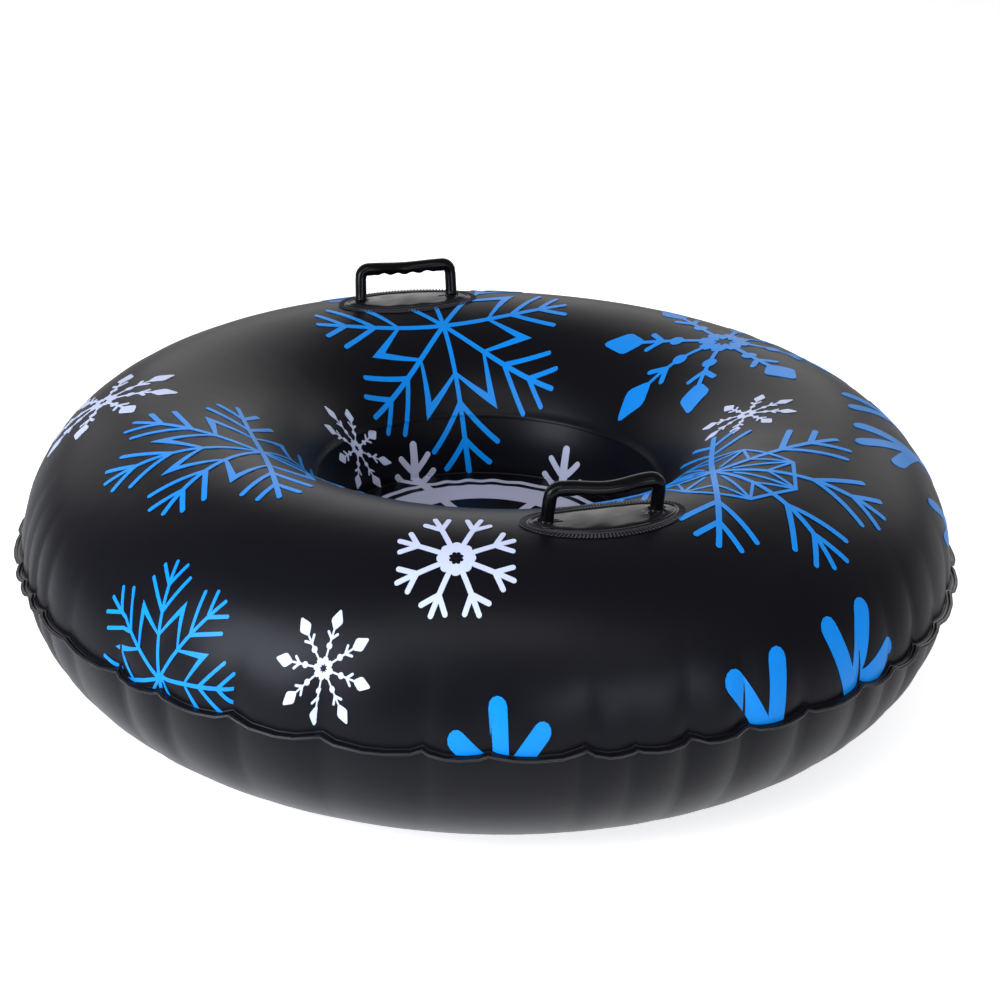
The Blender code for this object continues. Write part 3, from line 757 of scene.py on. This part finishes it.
# Handles, in a frame with X along the grip, Y towards the tube's middle and Z up
HANDLE_AZIMUTHS = {"front": -71.2, "rear": 108.1}
HANDLE_LINE_RADIUS = CREST_RADIUS - 0.6 * MM
HANDLE_AXIS_HEIGHT = SEAM_HEIGHT + CROWN_RISE + 1.7 * MM
HANDLE_LEAN = math.radians(10.5)
LEG_SPREAD = 109 * MM
GRIP_SPREAD = 107 * MM
GRIP_HEIGHT = 37 * MM
GRIP_RADIUS = 7.4 * MM
GRIP_SAG = 2.0 * MM
GRIP_BOW = 4.8 * MM
LEG_RADIUS = 6.4 * MM
COLLAR_RADIUS = 7.2 * MM
COLLAR_LOW = 2.4 * MM
COLLAR_HIGH = 4.4 * MM
CORNER_RADIUS = 8.5 * MM
FOOT_RADIUS = 1.4 * MM
FOOT_LENGTH = 22 * MM
FOOT_INSET = 5 * MM
FINGER_PITCH = 16.9 * MM
FINGER_SPAN = 2.35 * FINGER_PITCH
FINGER_FADE = 0.35 * FINGER_PITCH
FINGER_DEPTH = 2.2 * MM
BAIL_SIDES = 32
BAIL_EDGE_DEGREES = 50
CORNER_STEPS = 12
GRIP_STEPS = 60

# Handle patches, whose heights are above the skin
PATCH_LENGTH = 166 * MM
PATCH_WIDTH = 70 * MM
PATCH_OFFSETS = {"front": 4 * MM, "rear": 0}
PATCH_SHEET = 0.48 * MM
PATCH_FLAT = 1.3 * MM
FILM_HEIGHT = 2.5 * MM
FILM_TENT = 1.6 * MM
# Fewer and wider than the 170 or so of a real border, which would be too fine to show
RIB_COUNT = 112
GROOVES = "groove"
COLUMNS_PER_RIB = 6
RIB_DEPTH = 1.6 * MM
RIB_SERRATION = 1.0 * MM
# The brim stands up on the side away from the photograph's camera
BRIM_LIFT = 3.5 * MM
BRIM_SIDES = {"front": -1, "rear": 1}
BORDER_WIDTH = 8 * MM
# Distance in from the edge, or from the border's inner side, and rise over the flat border
BORDER_ROWS_MM = ((0, -0.4), (0.35, 0), (2.4, 0), (4.6, 0), (6.4, 0), (7.2, -0.1))
LIP_BEAD_ROWS_MM = ((0, 0), (0.5, 0.8), (1.2, 1.2), (2.0, 1.1), (2.6, 0.4), (3.2, 0.3))
FILM_SLOPE = 3.4 * MM
FILM_ROW_SHARES = (0.0, 0.12, 0.25, 0.38, 0.5, 0.62, 0.74, 0.86, 0.95)
RIB_LENGTH = 6.6 * MM
SERRATED_WIDTH = 0.5 * MM
BRIM_REACH = BORDER_WIDTH + 4 * MM
OVAL_SHARE = 0.42
FILM_START = BORDER_WIDTH + 3 * MM
FILM_FADE = 6 * MM
# Taut film: two soft waves, and a lift and puckers round each leg
WAVE_ALONG = 62 * MM
WAVE_ACROSS = 44 * MM
SHORT_WAVE = 31 * MM
WAVE_RISE = 0.50 * MM
SHORT_WAVE_RISE = 0.28 * MM
TENT_REACH = 12 * MM
PUCKER_RADIUS = 12 * MM
PUCKER_WIDTH = 5 * MM
PUCKER_COUNT = 7
PUCKER_RISE = 0.14 * MM
GAITER_SHEET = 0.5 * MM
GAITER_SIDES = 36
# Half width and half length of the slot round each leg, which the gaiter closes, and the height of the form
# that cuts it
SLOT_HALF_WIDTH = 7.8 * MM
SLOT_HALF_LENGTH = 10.5 * MM
SLOT_CUT_HEIGHT = 30 * MM


def leg_rings():
    """Height and radius of each ring of a leg, from the foot to the corner."""
    top = GRIP_HEIGHT - CORNER_RADIUS
    rings = [(0, 0.5 * LEG_RADIUS), (0.7 * MM, 0.85 * LEG_RADIUS), (1.5 * MM, LEG_RADIUS),
             (COLLAR_LOW, LEG_RADIUS + 0.2 * MM), (COLLAR_LOW + 0.15 * MM, COLLAR_RADIUS - 0.25 * MM),
             (COLLAR_LOW + 0.5 * MM, COLLAR_RADIUS),
             (COLLAR_HIGH - 0.6 * MM, COLLAR_RADIUS), (COLLAR_HIGH - 0.2 * MM, COLLAR_RADIUS - 0.3 * MM),
             (COLLAR_HIGH, LEG_RADIUS + 0.45 * MM), (COLLAR_HIGH + 0.6 * MM, LEG_RADIUS + 0.05 * MM),
             (COLLAR_HIGH + 1.6 * MM, LEG_RADIUS)]
    return rings + [(COLLAR_HIGH + (top - COLLAR_HIGH) * share, LEG_RADIUS) for share in (0.35, 0.65, 0.9)]


def bail_rings():
    """Centre, tangent and radius of every ring of the bail, from its left foot to its right one."""
    left = []
    for height, radius in leg_rings():
        reach = (LEG_SPREAD + (GRIP_SPREAD - LEG_SPREAD) * height / GRIP_HEIGHT) / 2
        left.append((np.array((-reach, 0, height)), radius))
    corner = np.array((CORNER_RADIUS - GRIP_SPREAD / 2, 0, GRIP_HEIGHT - CORNER_RADIUS))
    for step in range(CORNER_STEPS):
        turn = math.pi / 2 * step / CORNER_STEPS
        arc = np.array((-math.cos(turn), 0, math.sin(turn))) * CORNER_RADIUS
        left.append((corner + arc, LEG_RADIUS + (GRIP_RADIUS - LEG_RADIUS) * step / CORNER_STEPS))
    grip = []
    for step in range(GRIP_STEPS + 1):
        share = 2 * step / GRIP_STEPS - 1
        swing = 0.5 + 0.5 * math.cos(math.pi * share)
        grip.append((np.array((share * (GRIP_SPREAD / 2 - CORNER_RADIUS), -GRIP_BOW * swing,
                               GRIP_HEIGHT - GRIP_SAG * swing)), GRIP_RADIUS))
    right = [(centre * (-1, 1, 1), radius) for centre, radius in reversed(left)]
    rings = left + grip + right
    centres = np.array([centre for centre, _ in rings])
    tangents = np.gradient(centres, axis=0)
    tangents /= np.linalg.norm(tangents, axis=1)[:, None]
    return centres, tangents, np.array([radius for _, radius in rings])


def finger_cut(along, downward):
    """How far the finger grooves cut into the underside of the grip."""
    inside = np.clip((FINGER_SPAN - np.abs(along)) / FINGER_FADE, 0, 1)
    wave = 0.5 - 0.5 * np.cos(2 * math.pi * along / FINGER_PITCH)
    return FINGER_DEPTH * wave * inside * np.clip(downward, 0, 1) ** 1.5


def foot_matrix(place):
    """Upright frame at the middle of the line through a handle's feet."""
    azimuth = math.radians(HANDLE_AZIMUTHS[place])
    line = Vector((HANDLE_LINE_RADIUS * math.cos(azimuth), HANDLE_LINE_RADIUS * math.sin(azimuth),
                   HANDLE_AXIS_HEIGHT))
    return Matrix.Translation(line) @ Matrix.Rotation(azimuth + math.pi / 2, 4, "Z")


def ring_tube(name, rings, sides):
    """A closed cylinder cut into rings, ready to be bent along a path."""
    deselect()
    bpy.ops.mesh.primitive_cylinder_add(vertices=sides, radius=1, depth=1, end_fill_type="NGON",
                                        location=(0, 0, 0.5))
    obj = active_piece(name)
    settle(obj)
    mesh = obj.data
    height = mesh_points(mesh)[edge_ends(mesh), 2]
    mesh.polygons.foreach_set("select", np.zeros(len(mesh.polygons), dtype=bool))
    mesh.vertices.foreach_set("select", np.zeros(len(mesh.vertices), dtype=bool))
    mesh.edges.foreach_set("select", np.abs(height[:, 0] - height[:, 1]) > 0.5)
    set_mode("EDIT")
    bpy.ops.mesh.select_mode(type="EDGE")
    bpy.ops.mesh.subdivide(number_cuts=rings - 2)
    set_mode("OBJECT")
    return obj


def make_bail(place, material):
    """The moulded bail: collars at the foot of its legs, soft corners and finger grooves."""
    centres, tangents, radii = bail_rings()
    obj = ring_tube(f"{place}_bail", len(centres), BAIL_SIDES)
    points = mesh_points(obj.data)
    ring = np.round(points[:, 2] * (len(centres) - 1)).astype(int)
    tangent = tangents[ring]
    side = np.array((0.0, 1.0, 0.0)) - tangent * tangent[:, 1:2]
    side /= np.linalg.norm(side, axis=1)[:, None]
    out = np.cross(side, tangent)
    spoke = points[:, :1] * out + points[:, 1:2] * side
    off_grip = len(leg_rings()) + CORNER_STEPS
    on_grip = (ring >= off_grip) & (ring <= len(centres) - 1 - off_grip)
    cut = np.where(on_grip, finger_cut(centres[ring][:, 0], -spoke[:, 2]), 0)
    move_points(obj.data, centres[ring] + spoke * (radii[ring] - cut)[:, None])
    for sign in (-1, 1):
        deselect()
        bpy.ops.mesh.primitive_cylinder_add(
            vertices=20, radius=FOOT_RADIUS, depth=FOOT_LENGTH, rotation=(0, math.pi / 2, 0),
            location=(sign * (LEG_SPREAD / 2 - FOOT_INSET), 0, 0))
        foot = active_piece(f"{place}_foot")
        settle(foot)
        join_cut(obj, foot, "UNION")
    obj.matrix_world = foot_matrix(place) @ Matrix.Rotation(HANDLE_LEAN, 4, "X")
    settle(obj)
    smooth_with_edges(obj, BAIL_EDGE_DEGREES)
    obj.data.materials.append(material)
    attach(obj, f"handle_{place}")
    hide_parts(f"handle_{place}")


def join_cut(obj, form, operation):
    """Union or difference with a form, which is then removed."""
    step = obj.modifiers.new("form", "BOOLEAN")
    step.operation = operation
    step.solver = "EXACT"
    step.object = form
    apply_modifier(obj, "form")
    bpy.data.objects.remove(form, do_unlink=True)


def smooth_with_edges(obj, degrees):
    pick_out(obj)
    bpy.ops.object.shade_smooth_by_angle(angle=math.radians(degrees))


def patch_rows():
    """Distance in from the edge and height of each row of the patch, edge first."""
    rows = [(inset * MM, PATCH_FLAT + rise * MM) for inset, rise in BORDER_ROWS_MM]
    rows += [(BORDER_WIDTH + inset * MM, PATCH_FLAT + rise * MM) for inset, rise in LIP_BEAD_ROWS_MM]
    foot, foot_height = rows[-1]
    brow = foot + FILM_SLOPE
    for share in (0.25, 0.5, 0.75):
        climb = 0.5 - 0.5 * math.cos(math.pi * share)
        rows.append((foot + FILM_SLOPE * share, foot_height + (FILM_HEIGHT - foot_height) * climb))
    return rows + [(brow + (PATCH_WIDTH / 2 - brow) * share, FILM_HEIGHT) for share in FILM_ROW_SHARES]


def film_waves(along, across):
    """Height of the taut film's soft waves, which lift and pucker it round each leg."""
    long_wave = np.cos(2 * math.pi * along / WAVE_ALONG + 0.9) * np.cos(math.pi * across / WAVE_ACROSS)
    short_wave = np.sin(2 * math.pi * (along + 0.7 * across) / SHORT_WAVE + 1.1)
    height = WAVE_RISE * long_wave + SHORT_WAVE_RISE * short_wave
    for sign in (-1, 1):
        beside = along - sign * LEG_SPREAD / 2
        away = np.hypot(beside, across)
        pucker = np.cos(PUCKER_COUNT * np.arctan2(across, beside) + sign)
        pucker *= np.exp(-((away - PUCKER_RADIUS) / PUCKER_WIDTH) ** 2)
        height = height + FILM_TENT * np.exp(-(away / TENT_REACH) ** 2) + PUCKER_RISE * pucker
    return height


def even_turn(turn):
    """Angle on the patch's oval that spreads the ribs evenly along its edge."""
    sweep = np.linspace(0, 2 * math.pi, 1441)
    steps = np.hypot(np.diff(PATCH_WIDTH * np.cos(sweep)), np.diff(PATCH_LENGTH * np.sin(sweep)))
    even = np.concatenate(([0], np.cumsum(steps))) * 2 * math.pi / steps.sum()
    return np.interp(turn, even, sweep)


def make_patch(place, film, weld):
    """The oval cap over the feet: a ribbed weld border, a raised lip and a taut glossy film."""
    edge = PATCH_WIDTH / 2
    obj = open_circle(f"{place}_patch", RIB_COUNT * COLUMNS_PER_RIB, edge)
    rows = patch_rows()
    radius = edge
    for inset, _ in rows[1:]:
        radius = extrude_ring(radius, edge - inset)
    bpy.ops.mesh.extrude_edges_move()
    bpy.ops.mesh.merge(type="CENTER")
    set_mode("OBJECT")
    if obj.data.polygons[0].normal.z < 0:
        obj.data.flip_normals()
    points = mesh_points(obj.data)
    inset = edge - np.hypot(points[:, 0], points[:, 1])
    insets = np.array([row[0] for row in rows] + [edge])
    heights = np.array([row[1] for row in rows] + [FILM_HEIGHT])
    turn = np.arctan2(points[:, 1], points[:, 0]) % (2 * math.pi)
    valley = (0.5 - 0.5 * np.cos(turn * RIB_COUNT)) * (inset < RIB_LENGTH)
    spread = even_turn(turn)
    points[:, 0] = (edge - inset) * np.cos(spread)
    points[:, 1] = (edge - inset) * np.sin(spread)
    brim = np.clip(BRIM_SIDES[place] * np.cos(spread), 0, 1) * np.clip(1 - inset / BRIM_REACH, 0, 1)
    height = np.interp(inset, insets, heights) - RIB_DEPTH * valley + BRIM_LIFT * brim
    out = np.maximum(edge - inset, 1e-9)
    drawn = RIB_SERRATION * valley * (inset < SERRATED_WIDTH)
    stretch = (PATCH_LENGTH - PATCH_WIDTH) / 2 * np.clip(out / edge / OVAL_SHARE, 0, 1)
    along = points[:, 1] * (1 + (stretch - drawn) / out) + PATCH_OFFSETS[place]
    across = points[:, 0] * (1 - drawn / out)
    film_share = np.clip((inset - FILM_START) / FILM_FADE, 0, 1)
    height = np.maximum(height + film_share * film_waves(along, across), WELD_GAP)
    azimuth = math.radians(HANDLE_AZIMUTHS[place]) + along / CREST_RADIUS
    angle = math.pi / 2 - across / SECTION_HALF_WIDTH
    places = crown_place(azimuth, np.interp(angle, CROWN_ANGLES, CROWN_DISTANCES), height)
    move_points(obj.data, places)
    # Mask of the rib grooves, which the weld's material darkens as painted shade
    grooves = obj.data.attributes.new(GROOVES, "FLOAT", "POINT")
    grooves.data.foreach_set("value", valley.astype(np.float32))
    obj.data.materials.append(film)
    obj.data.materials.append(weld)
    face_inset = np.array([inset[list(face.vertices)].mean() for face in obj.data.polygons])
    obj.data.polygons.foreach_set("material_index", (face_inset < BORDER_WIDTH).astype(np.int32))
    obj.data.shade_smooth()
    add_thickness(obj, PATCH_SHEET)
    for sign in (-1, 1):
        deselect()
        bpy.ops.mesh.primitive_cylinder_add(vertices=40, radius=1, depth=1)
        form = active_piece("slot_form")
        form.matrix_world = (slot_matrix(place, sign)
                             @ Matrix.Diagonal((SLOT_HALF_WIDTH, SLOT_HALF_LENGTH, SLOT_CUT_HEIGHT, 1)))
        settle(form)
        join_cut(obj, form, "DIFFERENCE")
    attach(obj, "tube")
    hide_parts(f"handle_patch_{place}")


def slot_matrix(place, sign):
    """Upright frame at the foot of one leg."""
    return foot_matrix(place) @ Matrix.Translation((sign * LEG_SPREAD / 2, 0, 0))


def make_gaiter(place, sign, material):
    """A soft gaiter that closes the patch's slot round one leg, leaning as the bail does."""
    # Half width, half length and height of each ring, from the slot in to the leg
    rings = ((SLOT_HALF_WIDTH + 1.4 * MM, SLOT_HALF_LENGTH + 1.2 * MM, 0.2 * MM),
             (SLOT_HALF_WIDTH + 0.2 * MM, SLOT_HALF_LENGTH + 0.1 * MM, 0.7 * MM),
             (SLOT_HALF_WIDTH - 0.4 * MM, SLOT_HALF_LENGTH - 0.8 * MM, 1.1 * MM),
             (COLLAR_RADIUS - 0.3 * MM, COLLAR_RADIUS + 1.0 * MM, 1.5 * MM),
             (COLLAR_RADIUS - 0.7 * MM, COLLAR_RADIUS - 0.4 * MM, 1.9 * MM),
             (LEG_RADIUS + 0.1 * MM, LEG_RADIUS + 0.1 * MM, 2.2 * MM))
    obj = open_circle(f"{place}_gaiter_{'left' if sign < 0 else 'right'}", GAITER_SIDES, 1)
    for _ in rings[1:]:
        bpy.ops.mesh.extrude_edges_move(TRANSFORM_OT_translate={"value": (0, 0, 1)})
    set_mode("OBJECT")
    points = mesh_points(obj.data)
    row = np.round(points[:, 2]).astype(int)
    sizes = np.array(rings)[row]
    lean = math.tan(HANDLE_LEAN) * sizes[:, 2] * row / (len(rings) - 1)
    placed = np.stack((points[:, 0] * sizes[:, 0], points[:, 1] * sizes[:, 1] - lean, sizes[:, 2]), axis=-1)
    move_points(obj.data, placed)
    set_mode("EDIT")
    bpy.ops.mesh.select_all(action="SELECT")
    bpy.ops.mesh.normals_make_consistent(inside=False)
    set_mode("OBJECT")
    matrix = slot_matrix(place, sign)
    obj.matrix_world = matrix
    settle(obj)
    obj.data.shade_smooth()
    add_thickness(obj, GAITER_SHEET)
    obj.data.materials.append(material)
    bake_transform(obj)


VALVE_OPENING = 15 * MM
VALVE_PLASTIC_NODES = ("valve_base", "valve_adapter", "valve_cap", "valve_cap_strap")
VALVE_RUBBER_NODES = ("valve_seal_ring", "valve_diaphragm")


def dress_valve(plastic, rubber):
    """The valve's pieces are the frame's own, in the studio's materials."""
    for names, material in ((VALVE_PLASTIC_NODES, plastic), (VALVE_RUBBER_NODES, rubber)):
        for name in names:
            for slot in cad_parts[name].material_slots:
                slot.material = material


# Size in mm and detail of each pattern, and strength and depth in mm of its relief
VINYL_SHEEN = (111.1, 2.0)
VINYL_GRAIN = (1.111, 1.0)
VINYL_GRAIN_RELIEF = (0.10, 0.1)
VINYL_WAVES = (45.45, 1.5)
VINYL_WAVE_RELIEF = (0.35, 1.2)
MOULD_SHEEN = (16.67, 2.0)
MOULD_TEXTURE_DETAIL = 1.0
MOULD_RELIEF = (0.12, 0.1)
# How much smoother and rougher than its mean a vinyl is, and as shares for a moulded plastic
VINYL_ROUGHNESS_SPREAD = (-0.03, 0.04)
MOULD_ROUGHNESS_SHARES = (0.8, 1.25)
# Painted shade in the grooves: their dark colour, and the mirroring at the ribs' top and in their valleys,
# where it is cut almost to nothing
PAINTED_GROOVE_SHADE = "#020203"
SHINE_SHADED_IN_GROOVES = (0.5, 0.03)
# What the paper gives off to the camera, and to reflections in front, behind and far out
CAMERA_GLOW = 0.72
GLOSSY_GLOW_FRONT = 1.0
GLOSSY_GLOW_BACK = 0.2
GLOSSY_GLOW_FAR = 0.15
GLOW_FADE_Y = (-0.45, -0.05)
GLOW_FADE_RADII = (0.66, 1.0)
PAPER_WHITE = "#E7E7E7"
FLOOR_RADIUS = 14


def add_node(tree, kind, settings=None, links=None):
    """Add a node, set its properties or inputs, and link its inputs from other nodes' outputs."""
    node = tree.nodes.new(kind)
    for key, value in (settings or {}).items():
        if isinstance(key, int) or key in node.inputs:
            node.inputs[key].default_value = value
        else:
            setattr(node, key, value)
    for key, source in (links or {}).items():
        tree.links.new(source, node.inputs[key])
    return node


def add_noise(tree, where, size_mm, detail):
    """Noise with patches of a real size."""
    settings = {"Scale": 1 / (size_mm * MM), "Detail": detail}
    return add_node(tree, "ShaderNodeTexNoise", settings, {"Vector": where}).outputs["Fac"]


def add_range(tree, source, wanted, given=(0, 1)):
    """Map a value from the given range to the wanted one."""
    limits = {"From Min": given[0], "From Max": given[1], "To Min": wanted[0], "To Max": wanted[1]}
    return add_node(tree, "ShaderNodeMapRange", limits, {"Value": source}).outputs["Result"]


def add_math(tree, operation, *values):
    """Work out one value from others, which are numbers or outputs of nodes."""
    numbers = {i: value for i, value in enumerate(values) if isinstance(value, float)}
    links = {i: value for i, value in enumerate(values) if not isinstance(value, float)}
    return add_node(tree, "ShaderNodeMath", {"operation": operation, **numbers}, links).outputs["Value"]


def add_tint(tree, colour, share):
    """A material's colour, between its two near shades."""
    shades = {"Color1": srgb(colour[0]), "Color2": srgb(colour[1])}
    return add_node(tree, "ShaderNodeMixRGB", shades, {"Fac": share}).outputs["Color"]


def add_bump(tree, strength, depth_mm, links):
    settings = {"Strength": strength, "Distance": depth_mm * MM}
    return add_node(tree, "ShaderNodeBump", settings, links).outputs["Normal"]


def add_surface(tree, ior, links):
    """The shader of a solid material, linked to the output."""
    shader = add_node(tree, "ShaderNodeBsdfPrincipled", {"IOR": ior}, links)
    add_node(tree, "ShaderNodeOutputMaterial", None, {"Surface": shader.outputs["BSDF"]})
    return shader


def new_material(name):
    material = bpy.data.materials.new(name)
    material.use_nodes = True
    material.node_tree.nodes.clear()
    return material, material.node_tree


def calendered_vinyl(name, colour, roughness, ior):
    """Calendered PVC sheet: satin, with a faint fine grain and a slow unevenness in its sheen.

    A satin sheet mirrors less than polished PVC of IOR 1.53, so its IOR is lower.
    """
    material, tree = new_material(name)
    where = add_node(tree, "ShaderNodeTexCoord").outputs["Object"]
    slow = add_noise(tree, where, *VINYL_SHEEN)
    grain = add_noise(tree, where, *VINYL_GRAIN)
    waves = add_noise(tree, where, *VINYL_WAVES)
    sheen = add_range(tree, slow, [roughness + spread for spread in VINYL_ROUGHNESS_SPREAD])
    fine = add_bump(tree, *VINYL_GRAIN_RELIEF, {"Height": grain})
    bump = add_bump(tree, *VINYL_WAVE_RELIEF, {"Height": waves, "Normal": fine})
    tint = add_tint(tree, colour, slow)
    add_surface(tree, ior, {"Base Color": tint, "Roughness": sheen, "Normal": bump})
    return material


def moulded_plastic(name, colour, roughness, texture_mm, ior=1.5, shade_grooves=False):
    """Moulded plastic: smooth and glossy, with the soft unevenness of a polished mould.

    With shade_grooves, painted shade makes the grooves dark and takes their reflections away, so that the
    ribs stand out.
    """
    material, tree = new_material(name)
    where = add_node(tree, "ShaderNodeTexCoord").outputs["Object"]
    slow = add_noise(tree, where, *MOULD_SHEEN)
    fine = add_noise(tree, where, texture_mm, MOULD_TEXTURE_DETAIL)
    gloss = add_range(tree, slow, [roughness * share for share in MOULD_ROUGHNESS_SHARES])
    tint = add_tint(tree, colour, slow)
    bump = add_bump(tree, *MOULD_RELIEF, {"Height": fine})
    shader = add_surface(tree, ior, {"Base Color": tint, "Roughness": gloss, "Normal": bump})
    if shade_grooves:
        # Painted shade in the rib grooves: a dark colour and almost no mirroring there
        groove = add_node(tree, "ShaderNodeAttribute", {"attribute_name": GROOVES}).outputs["Fac"]
        groove_shade = add_node(tree, "ShaderNodeMixRGB", {"Color2": srgb(PAINTED_GROOVE_SHADE)},
                        {"Fac": groove, "Color1": tint})
        tree.links.new(add_range(tree, groove, SHINE_SHADED_IN_GROOVES), shader.inputs["Specular IOR Level"])
        tree.links.new(groove_shade.outputs["Color"], shader.inputs["Base Color"])
    return material


def floor_paper():
    """Matt white paper. The camera sees it as white, and it keeps the shadow.

    Reflections see it brighter in front of the tube, as from a small lit table, and dimmer behind.
    """
    material, tree = new_material("studio_paper")
    rays = add_node(tree, "ShaderNodeLightPath")
    where = add_node(tree, "ShaderNodeTexCoord").outputs["Object"]
    parts = add_node(tree, "ShaderNodeSeparateXYZ", None, {"Vector": where})
    reach = add_node(tree, "ShaderNodeVectorMath", {"operation": "LENGTH"}, {0: where})
    front = add_range(tree, parts.outputs["Y"], (GLOSSY_GLOW_FRONT, GLOSSY_GLOW_BACK), GLOW_FADE_Y)
    table = add_range(tree, reach.outputs["Value"], (1, GLOSSY_GLOW_FAR), GLOW_FADE_RADII)
    lit_table = add_math(tree, "MULTIPLY", table, front)
    mirrored_glow = add_math(tree, "MULTIPLY", rays.outputs["Is Glossy Ray"], lit_table)
    seen = add_math(tree, "MAXIMUM", rays.outputs["Is Camera Ray"], rays.outputs["Is Transmission Ray"])
    glow = add_math(tree, "MULTIPLY_ADD", seen, CAMERA_GLOW, mirrored_glow)
    matt = add_node(tree, "ShaderNodeBsdfDiffuse", {"Color": srgb(PAPER_WHITE)})
    light = add_node(tree, "ShaderNodeEmission", None, {"Strength": glow})
    both = add_node(tree, "ShaderNodeAddShader", None,
                    {0: matt.outputs["BSDF"], 1: light.outputs["Emission"]})
    add_node(tree, "ShaderNodeOutputMaterial", None, {"Surface": both.outputs["Shader"]})
    return material


def make_camera():
    data = bpy.data.cameras.new("photo_camera")
    data.lens = CAMERA_LENS_MM
    data.sensor_width = CAMERA_SENSOR_MM
    camera = object_of(data, "photo_camera")
    forward = (CAMERA_AIM - CAMERA_PLACE).normalized()
    aim = forward.to_track_quat("-Z", "Y").to_matrix().to_4x4()
    camera.matrix_world = Matrix.Translation(CAMERA_PLACE) @ aim @ Matrix.Rotation(CAMERA_ROLL, 4, "Z")
    bpy.context.scene.camera = camera


SKY_GLOW = 0.3
SKY_COLOUR = (0.97, 0.96, 1, 1)
WHITE = (1.0, 1.0, 1.0)
COOL = (0.82, 0.88, 1.0)
# Name, azimuth, height, distance, width, depth (metres), radiance, colour
SOFTBOXES = (
    ("left_front", -138, 0.9, 2.35, 1.2, 1.2, 12.0, COOL),
    ("left_front_high", -122, 2.0, 2.4, 1.3, 1.1, 3.4, COOL),
    ("front_high", -90, 2.7, 1.9, 1.8, 1.2, 2.6, WHITE),
    ("right_front_high", -58, 2.0, 2.4, 1.3, 1.1, 1.2, WHITE),
    ("right_front", -60, 0.5, 2.3, 1.3, 0.6, 5.0, COOL),
    ("back_panel", 90, 1.3, 2.6, 2.6, 1.8, 1.0, WHITE),
    ("left_back", 135, 1.2, 2.6, 1.4, 1.4, 0.8, WHITE),
    ("right_back", 45, 1.2, 2.6, 1.4, 1.4, 1.2, WHITE),
)


def make_studio():
    deselect()
    bpy.ops.mesh.primitive_circle_add(vertices=96, radius=FLOOR_RADIUS, fill_type="NGON", location=(0, 0, 0))
    floor = active_piece("studio_floor")
    floor.data.materials.append(floor_paper())
    world = bpy.data.worlds.new("studio")
    bpy.context.scene.world = world
    world.use_nodes = True
    tree = world.node_tree
    tree.nodes.clear()
    sky = add_node(tree, "ShaderNodeBackground", {"Color": SKY_COLOUR, "Strength": SKY_GLOW})
    add_node(tree, "ShaderNodeOutputWorld", None, {"Surface": sky.outputs["Background"]})
    for box in SOFTBOXES:
        add_softbox(*box)


def add_softbox(name, azimuth, height, distance, width, depth, radiance, colour):
    """A soft panel that faces the tube, unseen by the camera."""
    data = bpy.data.lights.new(name, "AREA")
    data.shape = "RECTANGLE"
    data.size = width
    data.size_y = depth
    data.energy = radiance * math.pi * width * depth
    data.color = colour
    light = object_of(data, name)
    turn = math.radians(azimuth)
    place = Vector((distance * math.cos(turn), distance * math.sin(turn), height))
    light.location = place
    light.rotation_euler = (Vector((0, 0, SEAM_HEIGHT)) - place).to_track_quat("-Z", "Y").to_euler()
    light.visible_camera = False


def main():
    scene = bpy.context.scene
    scene.view_settings.view_transform = "Standard"
    make_camera()
    make_studio()
    top, bottom = make_skins()
    vinyl = calendered_vinyl("calendered_black_vinyl", ("#08080D", "#0B0B11"), 0.35, 1.22)
    ironed = calendered_vinyl("ironed_vinyl_weld", ("#0A0A0F", "#0D0D12"), 0.24, 1.42)
    for obj in (top, bottom):
        obj.data.materials.append(vinyl)
        obj.data.materials.append(ironed)
    inks = {"blue": calendered_vinyl("blue_ink_on_vinyl", ("#0284DE", "#048CE8"), 0.34, 1.3),
            "pale": calendered_vinyl("pale_ink_on_vinyl", ("#C4CCE8", "#CED5EF"), 0.34, 1.3),
            "seat": calendered_vinyl("grey_ink_on_vinyl", ("#B6B8CE", "#BEC0D6"), 0.36, 1.3)}
    make_prints(inks)
    plastic = moulded_plastic("polished_black_abs", ("#040405", "#070708"), 0.2, 1.2, 1.24)
    film = moulded_plastic("glossy_pvc_film", ("#141417", "#1B1B1E"), 0.17, 2.0, 1.31)
    # The weld's rib grooves get painted shade
    weld = moulded_plastic("ribbed_pvc_weld", ("#303035", "#36363B"), 0.25, 0.8, 1.5, True)
    satin = moulded_plastic("satin_black_polypropylene", ("#0E0E11", "#141417"), 0.36, 1.0)
    rubber = moulded_plastic("matt_black_rubber", ("#202022", "#28282A"), 0.62, 0.6)
    dress_valve(satin, rubber)
    for place in HANDLE_AZIMUTHS:
        make_bail(place, plastic)
        make_patch(place, film, weld)
        for sign in (-1, 1):
            make_gaiter(place, sign, film)


main()
